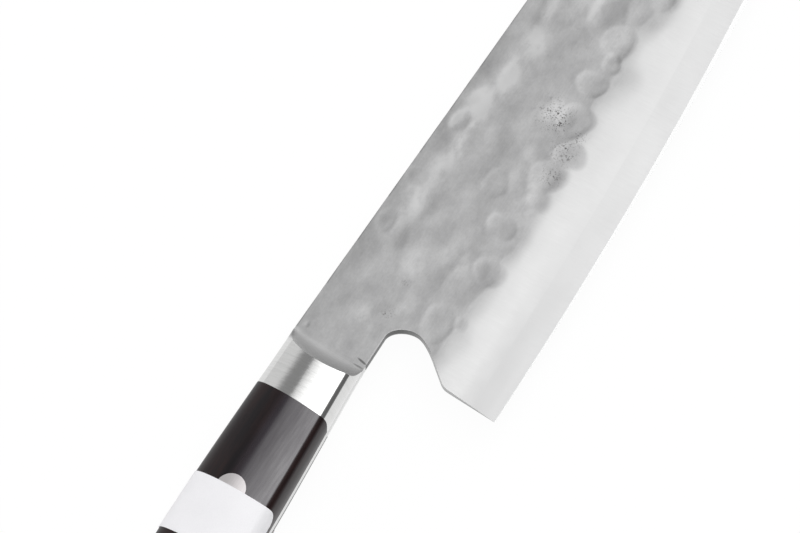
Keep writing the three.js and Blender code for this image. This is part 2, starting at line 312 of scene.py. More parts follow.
class Nodes:
    """The node tree of one finish, or of the studio's surroundings."""

    def __init__(self, tree: bpy.types.NodeTree) -> None:
        """Empties a tree and keeps it."""
        self.tree = tree
        tree.nodes.clear()

    def add(
        self,
        kind: str,
        settings: Mapping[str, Any] | None = None,
        sockets: Mapping[str | int, Any] | None = None,
    ) -> bpy.types.Node:
        """Adds any node.

        Args:
            kind: The node's type.
            settings: Its own settings; "stops" are the pairs of place and colour of a ramp.
            sockets: Values or links of its input sockets, by name or number.

        Returns:
            The new node.
        """
        node = self.tree.nodes.new(kind)
        for name, setting in (settings or {}).items():
            if name == "stops":
                self._set_stops(node.color_ramp, setting)
            else:
                setattr(node, name, setting)
        for key, given in (sockets or {}).items():
            source = given.socket if isinstance(given, Value) else given
            if isinstance(source, bpy.types.NodeSocket):
                self.tree.links.new(source, node.inputs[key])
            else:
                node.inputs[key].default_value = source
        return node

    @staticmethod
    def _set_stops(ramp: bpy.types.ColorRamp, stops: Sequence[tuple[float, float]]) -> None:
        """Gives a ramp its stops, as pairs of place and grey level."""
        while len(ramp.elements) < len(stops):
            ramp.elements.new(1.0)
        for element, (place, level) in zip(ramp.elements, stops):
            element.position = place
            element.color = (level, level, level, 1.0)

    def math(self, operation: str, first: Value | float, second: Value | float) -> Value:
        """Adds a Math node of two operands."""
        node = self.add("ShaderNodeMath", {"operation": operation}, {0: first, 1: second})
        return Value(self, node.outputs[0])

    def attribute(self, name: str) -> Value:
        """A number that the piece's own mesh carries."""
        node = self.add("ShaderNodeAttribute", {"attribute_name": name})
        return Value(self, node.outputs["Fac"])

    def surface(self, scale: Sequence[float], turn: float = 0.0) -> bpy.types.NodeSocket:
        """Object coordinates for a pattern.

        Args:
            scale: Repeats per millimetre along x, y and z, after the turn.
            turn: Turn of the pattern about z, in degrees.

        Returns:
            The vector that a texture reads.
        """
        place = self.add("ShaderNodeTexCoord").outputs["Object"]
        turned = self.add(
            "ShaderNodeMapping",
            {"vector_type": "POINT"},
            {"Vector": place, "Rotation": (0.0, 0.0, math.radians(-turn))},
        )
        sized = self.add(
            "ShaderNodeMapping",
            {"vector_type": "POINT"},
            {"Vector": turned.outputs[0], "Scale": [1000.0 * s for s in scale]},
        )
        return sized.outputs[0]

    def noise(
        self, scale: Sequence[float], detail: float = 2.0, rough: float = 0.5, turn: float = 0.0
    ) -> Value:
        """Noise of 0 to 1 with the given repeats per millimetre along each axis."""
        node = self.add(
            "ShaderNodeTexNoise",
            {"noise_dimensions": "3D"},
            {
                "Vector": self.surface(scale, turn),
                "Scale": 1.0,
                "Detail": detail,
                "Roughness": rough,
            },
        )
        return Value(self, node.outputs["Fac"])

    def facing(self, axis: str) -> Value:
        """How far the surface faces along one axis, from -1 to 1."""
        normal = self.add("ShaderNodeNewGeometry").outputs["Normal"]
        return Value(self, self.add("ShaderNodeSeparateXYZ", None, {0: normal}).outputs[axis])

    def smooth(self, value: Value, low: float, high: float) -> Value:
        """A soft step from 0 at low to 1 at high."""
        node = self.add(
            "ShaderNodeMapRange",
            {"interpolation_type": "SMOOTHSTEP", "clamp": True},
            {"Value": value, "From Min": low, "From Max": high},
        )
        return Value(self, node.outputs["Result"])

    def mix(
        self,
        share: Value,
        first: Colour | bpy.types.NodeSocket,
        second: Colour | bpy.types.NodeSocket,
    ) -> bpy.types.NodeSocket:
        """Blends two colours, from the first at 0 to the second at 1."""
        sides = [
            (*side, 1.0) if isinstance(side, tuple) else side for side in (first, second)
        ]
        node = self.add(
            "ShaderNodeMix",
            {"data_type": "RGBA", "blend_type": "MIX"},
            {0: share, 6: sides[0], 7: sides[1]},
        )
        return node.outputs[2]

    def bump(self, height: Value, depth: float) -> bpy.types.NodeSocket:
        """Surface normal over a relief whose full height is depth millimetres."""
        node = self.add(
            "ShaderNodeBump", None, {"Strength": 1.0, "Distance": depth / 1000.0, "Height": height}
        )
        return node.outputs["Normal"]


# Finishes


# Painted shade: dark colour for the blade's upright walls by the notch, standing for their dark
# reflection
PAINTED_WALL_SHADE: Colour = (0.05, 0.05, 0.05)
TANG_STEEL: Colour = (0.68, 0.68, 0.675)
# Painted shade for the lower bevel near the heel
PAINTED_BEVEL_SHADE: Colour = (0.365, 0.365, 0.366)


class Finish:
    """A surface finish: one Principled shader, whose sockets each kind of finish gives."""

    name: ClassVar[str]

    def sockets(self, nodes: Nodes) -> Mapping[str, Any]:
        """Sockets of the shader, as numbers or as links to the given nodes."""
        raise NotImplementedError

    def material(self) -> bpy.types.Material:
        """The finish as a new material."""
        material = bpy.data.materials.new(self.name)
        material.use_nodes = True
        nodes = Nodes(material.node_tree)
        shader = nodes.add("ShaderNodeBsdfPrincipled", None, self.sockets(nodes))
        nodes.add("ShaderNodeOutputMaterial", None, {"Surface": shader.outputs[0]})
        return material


@dataclass(frozen=True)
class GroundMarks:
    """Fine scratches that grinding leaves across a bevel."""

    lean: float = 1.0
    across: float = 7.0
    along: float = 0.35

    def pattern(self, nodes: Nodes) -> Value:
        """Scratches of 0 to 1, in two strengths that lean a little differently."""
        fine = nodes.noise((self.across, self.along, 1.0), 3.0, 0.6, self.lean)
        broad = nodes.noise((self.across / 3, self.along / 2, 1.0), 2.0, 0.5, self.lean + 4.0)
        patches = nodes.smooth(nodes.noise((0.12, 0.3, 0.2), 2.0), 0.4, 0.65)
        return 0.5 + (0.6 + 0.9 * patches) * (0.6 * fine + 0.4 * broad - 0.5)


class Nick(NamedTuple):
    """A nick in the right face: its middle, lean along x per mm, half width and half length."""

    x: float
    y: float
    lean: float
    width: float
    length: float


@dataclass(frozen=True)
class HammeredSkin:
    """Blasted skin of the hammered steel, rubbed pale in places, given painted highlights and
    painted shade over some dents, and nicked at the neck.
    """

    dark: Colour = (0.175, 0.175, 0.176)
    # rubbed: the pale skin, for real rubbing and for painted highlights
    rubbed: Colour = (0.315, 0.315, 0.316)
    nick: Colour = (0.09, 0.09, 0.09)
    roughness: float = 0.31
    nicks: tuple[Nick, ...] = (
        Nick(2.3, -17.6, 0.0, 0.3, 2.0),
        Nick(3.8, -17.5, 0.18, 0.36, 1.7),
    )

    @staticmethod
    def cloud(nodes: Nodes) -> Value:
        """Broad clouds of 0 to 1."""
        return nodes.noise((0.16, 0.2, 0.16), 4.0, 0.6)

    @staticmethod
    def speckle(nodes: Nodes) -> Value:
        """Small blasted specks of 0 to 1."""
        return nodes.noise((1.5, 1.7, 1.5), 3.0, 0.7)

    @staticmethod
    def drag(nodes: Nodes) -> Value:
        """Faint drawn marks along the blade, of 0 to 1."""
        return nodes.noise((0.22, 4.0, 1.0), 3.0, 0.6)

    def colour(self, nodes: Nodes) -> bpy.types.NodeSocket:
        """The skin's colour, paler where the piece says that it is worn or carries a painted
        highlight, and darker where it carries painted shade.
        """
        mottle = nodes.noise((0.45, 0.6, 0.45), 3.0, 0.6)
        grain = 0.4 * self.speckle(nodes) + 0.3 * self.drag(nodes)
        tone = 1.1 * self.cloud(nodes) + 0.3 * mottle + grain - 1.05
        # The attribute adds painted highlights where it is above 0 and painted shade where it is
        # below 0
        wear_and_painted_light = nodes.attribute("wear_and_painted_light") * (2.6 * mottle - 0.2)
        worn = nodes.smooth(wear_and_painted_light + tone, -0.8, 0.8)
        skin = nodes.mix(worn, self.dark, self.rubbed)
        return nodes.mix(self._nicked(nodes), skin, self.nick)

    def _nicked(self, nodes: Nodes) -> Value:
        """Where the nicks are, from 0 to 1."""
        place = nodes.surface((1.0, 1.0, 1.0))
        parts = nodes.add("ShaderNodeSeparateXYZ", None, {0: place}).outputs
        x, y, z = (Value(nodes, part) - start for part, start in zip(parts, KNIFE_ORIGIN))
        inside: Value | float = 0.0
        for nick in self.nicks:
            v = y - nick.y
            u = x - nick.x - nick.lean * v
            r = u * u * nick.width**-2 + v * v * nick.length**-2
            inside = inside + (1.0 - nodes.smooth(r, 0.1, 1.0))
        return inside * nodes.smooth(z, 0.0, 0.1)


@dataclass(frozen=True)
class CladdingFinish(Finish):
    """Soft outer steel: hammered and blasted above, ground to a bevel below."""

    name: ClassVar[str] = "hammered_cladding_steel"
    ground_dark: Colour = (0.36, 0.36, 0.361)
    ground_light: Colour = (0.425, 0.425, 0.425)
    # dull: painted shade on the lower bevel near the heel
    dull: Colour = PAINTED_BEVEL_SHADE
    pit: Colour = (0.06, 0.058, 0.057)
    # scale: painted shade for the upright walls by the notch
    scale: Colour = PAINTED_WALL_SHADE
    tang: Colour = TANG_STEEL
    skin: HammeredSkin = HammeredSkin()
    marks: GroundMarks = GroundMarks()

    def sockets(self, nodes: Nodes) -> Mapping[str, Any]:
        """Sockets of the shader."""
        depth = nodes.attribute("grind")
        ground = nodes.smooth(depth, -0.06, 0.27)
        bared = nodes.smooth(depth, -0.02, 0.05)
        scratches = self.marks.pattern(nodes)
        cloud = self.skin.cloud(nodes)
        grain = nodes.noise((5.0, 5.0, 5.0), 2.0, 0.6)
        deeper = nodes.smooth(depth, 0.0, 0.5)
        tone = 0.55 * deeper + 0.3 * nodes.smooth(scratches, 0.3, 0.7) + 0.3 * cloud
        bevel = nodes.mix(tone, self.ground_dark, self.ground_light)
        # Painted shade on the lower bevel, where the attribute dull says
        bevel = nodes.mix(nodes.attribute("dull"), bevel, self.dull)
        steel = nodes.mix(ground, self.skin.colour(nodes), bevel)
        pits = nodes.attribute("pitting") * self._pits(nodes)
        steel = nodes.mix(pits, steel, self.pit)
        # Painted shade on the upright walls, where the layer scale says
        steel = nodes.mix(nodes.attribute("scale"), steel, self.scale)
        blasted = 0.6 * grain + 0.5 * self.skin.speckle(nodes) + 0.3 * self.skin.drag(nodes)
        relief = bared * (0.3 * scratches) + (1.0 - bared) * blasted - pits * 4.0
        return {
            "Base Color": nodes.mix(nodes.attribute("tang"), steel, self.tang),
            "Metallic": 1.0,
            "Roughness": self.skin.roughness - 0.04 + 0.08 * bared + 0.08 * cloud,
            "Normal": nodes.bump(relief, 0.005),
        }

    @staticmethod
    def _pits(nodes: Nodes) -> Value:
        """Small ragged pits of two sizes."""
        large = nodes.smooth(nodes.noise((1.5, 1.5, 1.5), 2.0, 0.6), 0.62, 0.67)
        small = nodes.smooth(nodes.noise((2.9, 2.9, 2.9), 2.0, 0.6), 0.58, 0.66)
        return nodes.math("MAXIMUM", large, 0.8 * small)


@dataclass(frozen=True)
class CoreFinish(Finish):
    """Hard middle steel, ground with the bevel and sharpened along the edge."""

    name: ClassVar[str] = "ground_core_steel"
    dark: Colour = (0.395, 0.395, 0.396)
    light: Colour = (0.415, 0.415, 0.415)
    # dull: painted shade on the lower bevel near the heel
    dull: Colour = PAINTED_BEVEL_SHADE
    sharpened: Colour = (0.62, 0.62, 0.62)
    # scale: painted shade for the upright walls by the notch
    scale: Colour = PAINTED_WALL_SHADE
    tang: Colour = TANG_STEEL
    marks: GroundMarks = GroundMarks()

    def sockets(self, nodes: Nodes) -> Mapping[str, Any]:
        """Sockets of the shader."""
        scratches = self.marks.pattern(nodes)
        cloud = nodes.noise((0.06, 0.12, 0.12), 2.0)
        final = 1.0 - nodes.smooth(nodes.attribute("above_final_edge"), -0.02, 0.02)
        bevel = nodes.mix(nodes.smooth(scratches, 0.3, 0.7), self.dark, self.light)
        # Painted shade on the lower bevel, where the attribute dull says
        bevel = nodes.mix(nodes.attribute("dull"), bevel, self.dull)
        steel = nodes.mix(final, bevel, self.sharpened)
        # Painted shade on the upright walls, where the layer scale says
        steel = nodes.mix(nodes.attribute("scale"), steel, self.scale)
        return {
            "Base Color": nodes.mix(nodes.attribute("tang"), steel, self.tang),
            "Metallic": 1.0,
            "Roughness": 0.36 + 0.08 * cloud - 0.12 * final,
            "Normal": nodes.bump(scratches, 0.0016),
        }


@dataclass(frozen=True)
class BolsterFinish(Finish):
    """Polished steel with fine marks round the girth, and a satin ramp."""

    name: ClassVar[str] = "polished_bolster_steel"
    ramp_from: float
    ramp_to: float
    polished: Colour = (0.70, 0.70, 0.695)
    worn: Colour = (0.64, 0.64, 0.635)
    # crease: painted light, a pale base that lifts the shade on the steep ramp below the crease
    crease: Colour = (0.80, 0.80, 0.80)
    toe: Colour = (0.385, 0.385, 0.385)
    # under: painted shade for the ramp where it faces the belly
    under: Colour = (0.33, 0.33, 0.33)
    skin: HammeredSkin = HammeredSkin()

    def sockets(self, nodes: Nodes) -> Mapping[str, Any]:
        """Sockets of the shader."""
        along = nodes.attribute("along")
        ramp = nodes.smooth(along, self.ramp_from - 0.2, self.ramp_from + 0.2)
        rings = nodes.noise((3.2, 0.1, 0.1), 4.0, 0.65)
        drift = nodes.noise((1.9, 0.36, 0.36), 3.0, 0.6)
        cloud = nodes.noise((0.25, 0.25, 0.25), 2.0)
        grain = nodes.noise((4.0, 1.2, 4.0), 2.0, 0.6)
        face = nodes.mix(nodes.smooth(rings, 0.35, 0.75), self.polished, self.worn)
        # Painted light: the ramp is paler near the crease, where it is steepest
        down = nodes.smooth(along + 3.0 * grain, self.ramp_from - 1.0, self.ramp_to - 4.0)
        hollow = nodes.mix(down, self.crease, self.toe)
        # Painted shade where the ramp faces the belly side
        hollow = nodes.mix(nodes.smooth(nodes.facing("Y"), -0.3, -0.8), hollow, self.under)
        end = nodes.smooth(along, self.ramp_to - 7.0, self.ramp_to - 0.5)
        hollow = nodes.mix(end, hollow, self.skin.colour(nodes))
        satin = 0.58 - (0.58 - self.skin.roughness) * end
        return {
            "Base Color": nodes.mix(ramp, face, hollow),
            "Metallic": 1.0,
            "Roughness": (0.08 + 0.06 * rings + 0.03 * cloud) * (1.0 - ramp) + satin * ramp,
            "Normal": nodes.bump((rings + 6.5 * drift) * (1.0 - ramp) + ramp * grain, 0.004),
        }


@dataclass(frozen=True)
class WoodFinish(Finish):
    """Black laminated wood, close grained, its faces polished to an uneven gloss, with a painted
    lilac sheen on them.
    """

    name: ClassVar[str] = "black_laminated_wood"
    black: Colour = (0.0010, 0.0006, 0.0008)
    brown: Colour = (0.013, 0.0050, 0.0040)
    # sheen: painted highlight colour for the faces that turn outwards
    sheen: Colour = (0.010, 0.006, 0.011)

    def sockets(self, nodes: Nodes) -> Mapping[str, Any]:
        """Sockets of the shader."""
        figure = nodes.noise((0.03, 0.28, 0.28), 4.0, 0.6)
        pores = nodes.noise((0.35, 6.0, 6.0), 2.0, 0.6)
        rubbed = nodes.noise((0.15, 0.5, 0.5), 3.0, 0.6)
        blotch = nodes.noise((0.06, 0.3, 0.3), 3.0, 0.6)
        streaks = nodes.noise((0.09, 1.5, 1.5), 3.0, 0.65)
        outward = nodes.math("ABSOLUTE", nodes.facing("Z"), 0.0)
        buffed_and_sheen = nodes.smooth(outward + 0.02 * blotch - 0.01, 0.955, 0.995)
        tone = nodes.smooth(0.75 * figure + 0.25 * pores, 0.38, 0.68)
        return {
            # Painted sheen: the base colour turns lilac where the face turns outwards, as the
            # highlight does
            "Base Color": nodes.mix(buffed_and_sheen, nodes.mix(tone, self.black, self.brown), self.sheen),
            "Roughness": 0.30 - 0.16 * buffed_and_sheen + 0.06 * rubbed + 0.06 * pores,
            "Specular IOR Level": 0.28,
            "Specular Tint": (1.0, 0.93, 1.0, 1.0),
            "Coat Weight": (0.06 + 0.94 * buffed_and_sheen) * (0.1 + 0.8 * blotch + 0.75 * streaks),
            "Coat Roughness": 0.12,
            "Coat IOR": 1.8,
            "Normal": nodes.bump(0.7 * pores + 2.5 * rubbed, 0.006),
        }


@dataclass(frozen=True)
class RivetFinish(Finish):
    """Pale rivet metal, sanded flush with the scales along the handle."""

    name: ClassVar[str] = "sanded_rivet_metal"
    pale: Colour = (0.64, 0.612, 0.618)
    dull: Colour = (0.58, 0.556, 0.56)

    def sockets(self, nodes: Nodes) -> Mapping[str, Any]:
        """Sockets of the shader."""
        sanding = nodes.noise((0.25, 6.0, 1.0), 3.0, 0.6)
        cloud = nodes.noise((0.4, 0.4, 0.4), 2.0)
        return {
            "Base Color": nodes.mix(
                nodes.smooth(0.6 * sanding + 0.4 * cloud, 0.3, 0.7), self.pale, self.dull
            ),
            "Metallic": 1.0,
            "Roughness": 0.36 + 0.1 * sanding,
            "Normal": nodes.bump(sanding, 0.003),
        }


@dataclass(frozen=True)
class PaperFinish(Finish):
    """Plain white paper with a fine fibre."""

    name: ClassVar[str] = "white_paper"
    white: Colour = (0.775, 0.77, 0.79)
    shade: Colour = (0.74, 0.735, 0.755)

    def sockets(self, nodes: Nodes) -> Mapping[str, Any]:
        """Sockets of the shader."""
        fibre = nodes.noise((3.0, 3.0, 3.0), 4.0, 0.65)
        cloud = nodes.noise((0.2, 0.2, 0.2), 2.0)
        return {
            "Base Color": nodes.mix(
                nodes.smooth(0.6 * fibre + 0.4 * cloud, 0.35, 0.7), self.white, self.shade
            ),
            "Roughness": 0.36 + 0.12 * fibre,
            "Specular IOR Level": 0.6,
            "Normal": nodes.bump(fibre, 0.012),
        }


# The handle's common form


class Arc(NamedTuple):
    """One arc in the outline of the handle's section: radius in mm and turn in degrees."""

    radius: float
    turn: float
    steps: int


class Station(NamedTuple):
    """The handle's outline at one place along it."""

    x: float
    spine: float
    belly: float
    half: float


@dataclass(frozen=True)
class HandleForm:
    """Outline and section that the bolster, scales, rivets and band share."""

    places: tuple[float, ...] = (-109.0, -82.0, -47.0, 0.0)
    spine: tuple[float, ...] = (-3.2, -0.52, 0.6, 0.0)
    belly: tuple[float, ...] = (-25.8, -21.32, -21.3, -18.75)
    half: tuple[float, ...] = (9.3, 8.5, 8.6, 7.3)
    butt: float = -118.0
    butt_length: float = 6.0
    butt_spine_round: float = 6.5
    butt_belly_round: float = 3.6
    butt_face_round: float = 3.2
    tang_half: float = 1.5
    arcs: tuple[Arc, ...] = (
        Arc(3.2, 29.0, 7),
        Arc(5.0, 32.0, 9),
        Arc(13.4, 28.0, 12),
        Arc(24.0, 13.0, 10),
        Arc(1.9, 60.0, 14),
        Arc(15.0, 18.0, 6),
    )

    def _follow(self, values: Sequence[float], x: float) -> float:
        """Smooth curve through values at the handle's measured places.

        Args:
            values: One value for each place.
            x: Where the curve is read; it is level beyond the first and last place.

        Returns:
            The curve's value there.
        """
        knots = self.places
        x = min(max(x, knots[0]), knots[-1])
        i = max(k for k in range(len(knots) - 1) if knots[k] <= x)
        before = i - 1 if i > 0 else i + 1
        after = i + 2 if i + 2 < len(knots) else i
        run = knots[i + 1] - knots[i]
        lead = 0.5 * run / (knots[i] - knots[before])
        tail = 0.5 * run / (knots[after] - knots[i + 1])
        p = (x - knots[i]) / run
        return (
            values[before] * lead * (-(p**3) + 2 * p**2 - p)
            + values[i] * ((1 + lead) * p**3 - (1.5 + 2 * lead) * p**2 + (lead - 0.5) * p + 1)
            + values[i + 1] * (-(1 + tail) * p**3 + (1.5 + tail) * p**2 + 0.5 * p)
            + values[after] * tail * (p**3 - p**2)
        )

    def station(self, x: float) -> Station:
        """The outline at one place along the handle."""
        return Station(
            x,
            self._follow(self.spine, x),
            self._follow(self.belly, x),
            self._follow(self.half, x),
        )

    def butt_stations(self, steps: int) -> list[Station]:
        """Stations over the rounded end of the butt, from its very end forward."""
        stations = []
        for step in range(steps):
            angle = math.pi / 2 * (1 - step / steps)
            inset = 1 - math.cos(angle)
            plain = self.station(self.butt + self.butt_length * (1 - math.sin(angle)))
            stations.append(
                plain._replace(
                    spine=plain.spine - self.butt_spine_round * inset,
                    belly=plain.belly + self.butt_belly_round * inset,
                    half=plain.half - self.butt_face_round * inset,
                )
            )
        return stations

    def stations(self, front: float, steps: int, butt_steps: int = 10) -> list[Station]:
        """Stations from the butt's end to a place near the bolster."""
        start = self.butt + self.butt_length
        body = [self.station(start + (front - start) * i / steps) for i in range(steps + 1)]
        return [*self.butt_stations(butt_steps), *body]

    @cached_property
    def shares(self) -> list[Point]:
        """Section from spine to belly, as shares of its height and its reach from the tang."""
        points = [(0.0, 0.0)]
        turned = 0.0
        for arc in self.arcs:
            down, out = points[-1]
            start = math.radians(turned)
            for step in range(1, arc.steps + 1):
                angle = start + math.radians(arc.turn) * step / arc.steps
                points.append(
                    (
                        down + arc.radius * (math.cos(start) - math.cos(angle)),
                        out + arc.radius * (math.sin(angle) - math.sin(start)),
                    )
                )
            turned += arc.turn
        height, low = points[-1]
        level = [(down / height, out - low * down / height) for down, out in points]
        reach = max(out for _, out in level)
        return [(down, out / reach) for down, out in level]

    def point(self, station: Station, share: Point, side: Side) -> Vector:
        """A point of the section at a station."""
        y = station.spine - share[0] * (station.spine - station.belly)
        z = self.tang_half + share[1] * (station.half - self.tang_half)
        return Vector((station.x, y, side.value * z))

    def section(self, station: Station, side: Side) -> list[Vector]:
        """One side of the section at a station, from spine to belly."""
        return [self.point(station, share, side) for share in self.shares]

    def body(self, front: float, steps: int) -> bmesh.types.BMesh:
        """The whole handle from the butt to a place near the bolster, as one solid."""
        return sweep(
            [
                self.section(station, Side.RIGHT) + self.section(station, Side.LEFT)[::-1]
                for station in self.stations(front, steps)
            ]
        )


# Sub-assemblies


class Dent(NamedTuple):
    """A hammer dent: its middle, half length along x, half height along y, depth and shape.

    A rim of 1 is crisp, and a larger one runs out more softly. A level of 1 is a round hollow,
    and a larger one has a flatter bottom between steeper walls.
    """

    x: float
    y: float
    length: float
    height: float
    depth: float
    rim: float = 1.4
    level: float = 1.0


class Spot(NamedTuple):
    """A place where the hammered skin is rubbed pale with a painted highlight, or given painted
    shade if its value is below 0.
    """

    x: float
    y: float
    length: float
    height: float
    wear_and_painted_light: float


SEEN_DENTS = (
    Dent(112.0, -27.2, 4.6, 3.6, 0.12),
    Dent(102.6, -27.2, 5.3, 4.3, 0.17, 1.0, 2.0),
    Dent(97.0, -28.0, 2.6, 2.3, 0.10, 1.0, 2.0),
    Dent(90.6, -27.6, 3.1, 4.2, 0.17, 1.0, 2.0),
    Dent(80.4, -28.7, 4.7, 4.7, 0.19, 1.0, 2.5),
    Dent(79.4, -24.2, 4.4, 4.4, 0.10, 1.2),
    Dent(72.0, -32.5, 3.9, 4.2, 0.22, 1.0, 2.0),
    Dent(64.6, -30.4, 4.6, 4.8, 0.15, 1.0, 2.0),
    Dent(58.4, -32.0, 3.2, 3.2, 0.12, 1.2),
    Dent(54.8, -31.6, 1.4, 1.2, 0.06, 1.0),
    Dent(48.4, -27.6, 3.3, 3.6, 0.12, 1.0, 2.0),
    Dent(37.2, -31.0, 4.2, 4.4, 0.14, 1.0, 2.0),
    Dent(33.6, -27.8, 6.8, 5.2, 0.13, 1.2),
    Dent(23.4, -32.4, 2.2, 2.0, 0.08, 1.0, 2.0),
    Dent(20.6, -27.2, 5.4, 3.9, 0.11, 1.0, 1.6),
    Dent(20.0, -20.4, 4.0, 3.4, 0.06),
    Dent(29.0, -18.0, 8.0, 5.8, 0.13),
    Dent(33.5, -7.4, 5.0, 4.0, 0.08),
    Dent(36.2, -3.8, 3.6, 2.4, 0.06, 1.0, 2.0),
    Dent(49.4, -4.6, 2.7, 2.8, 0.06, 1.0, 2.0),
    Dent(54.0, -12.6, 18.0, 8.0, 0.14),
    Dent(57.0, -20.6, 4.2, 3.0, 0.07, 1.0, 2.0),
    Dent(66.2, -5.6, 3.2, 2.4, 0.06, 1.0, 2.0),
    Dent(72.6, -9.4, 5.4, 6.0, 0.12, 1.2),
    Dent(83.0, -11.4, 5.6, 4.0, 0.05, 1.0, 1.5),
    Dent(93.0, -11.4, 5.2, 4.6, 0.08, 1.2),
    Dent(101.4, -11.0, 5.0, 4.4, 0.10),
    Dent(107.0, -21.0, 5.4, 4.6, 0.12, 1.2),
    Dent(68.0, -25.4, 3.0, 3.0, 0.07),
    Dent(60.6, -25.4, 3.4, 3.2, 0.07),
    Dent(4.4, -2.2, 0.9, 0.6, 0.07, 1.0),
)

# Spots above 0 are painted highlights, mostly on the spine side of dents, with some real rubbing;
# spots below 0 are painted shade in dents and along the spine
SEEN_WEAR_AND_PAINTED_LIGHT = (
    Spot(13.6, -11.0, 2.4, 1.6, 0.6),
    Spot(43.6, -6.8, 6.2, 2.4, 0.5),
    Spot(57.0, -8.4, 7.0, 2.0, 0.5),
    Spot(66.0, -4.8, 2.5, 1.1, 1.1),
    Spot(72.6, -6.6, 3.6, 2.3, 1.1),
    Spot(69.0, -8.8, 3.2, 1.6, 0.6),
    Spot(82.4, -9.4, 5.0, 1.7, 0.7),
    Spot(80.6, -11.0, 3.6, 1.5, 0.5),
    Spot(93.2, -9.2, 3.2, 1.4, 0.8),
    Spot(91.4, -11.6, 3.0, 1.6, 0.4),
    Spot(102.0, -9.0, 3.4, 1.4, 0.5),
    Spot(108.0, -17.6, 4.4, 1.2, 0.6),
    Spot(30.0, -16.0, 3.4, 1.6, 0.2),
    Spot(20.2, -18.8, 3.4, 1.6, 0.2),
    Spot(35.6, -24.4, 3.2, 1.6, 0.35),
    Spot(62.6, -28.6, 3.8, 1.8, 0.5),
    Spot(80.0, -22.4, 3.4, 2.0, 0.45),
    Spot(102.6, -26.6, 4.2, 2.2, 0.35),
    Spot(60.6, -4.2, 5.2, 2.2, -0.3),
    Spot(36.4, -3.6, 2.6, 2.0, -0.15),
    Spot(49.4, -4.6, 2.4, 2.0, -0.25),
    Spot(33.6, -8.8, 3.4, 1.6, -0.1),
    Spot(48.6, -29.0, 2.6, 1.8, -0.15),
    Spot(35.4, -29.4, 3.0, 2.0, -0.2),
    Spot(58.4, -33.0, 2.2, 1.4, -0.4),
    Spot(65.4, -32.6, 2.8, 1.4, -0.4),
    Spot(110.0, -22.0, 4.2, 2.0, -0.2),
)


@dataclass(frozen=True)
class HammerWork:
    """How dents without a known place are scattered over a flat, in columns and rows."""

    columns: int = 24
    rows: int = 6
    start: Point = (14.0, -3.5)
    pitch: Point = (7.0, -5.6)
    stray: Point = (2.4, 1.9)
    sizes: Point = (2.8, 4.6)
    stretches: Point = (0.9, 1.35)
    shallow: Point = (0.015, 0.06)
    deep: Point = (0.08, 0.2)
    shallow_rows: int = 4
    room: float = 5.0
    seen_to: float = 116.0

    def dents(self, seen: Sequence[Dent], seed: int) -> list[Dent]:
        """Fills a flat with dents round those that are given.

        Args:
            seen: Dents with a known place.
            seed: Seed of the scattered ones.

        Returns:
            All dents of one face.
        """
        chance = random.Random(seed)
        dents = list(seen)
        for column in range(self.columns):
            for row in range(self.rows):
                x = self.start[0] + self.pitch[0] * column + self._stray(chance, 0)
                y = self.start[1] + self.pitch[1] * row + self._stray(chance, 1)
                size = chance.uniform(*self.sizes)
                stretch = chance.uniform(*self.stretches)
                low = row >= self.shallow_rows
                depth = chance.uniform(*(self.deep if low else self.shallow))
                clear = all(math.hypot(x - d.x, y - d.y) > self.room for d in seen)
                if clear and not (seen and x < self.seen_to and low):
                    dents.append(Dent(x, y, size * stretch, size, depth))
        return dents

    def _stray(self, chance: random.Random, axis: int) -> float:
        """How far one dent strays from its column or row."""
        return chance.uniform(-self.stray[axis], self.stray[axis])


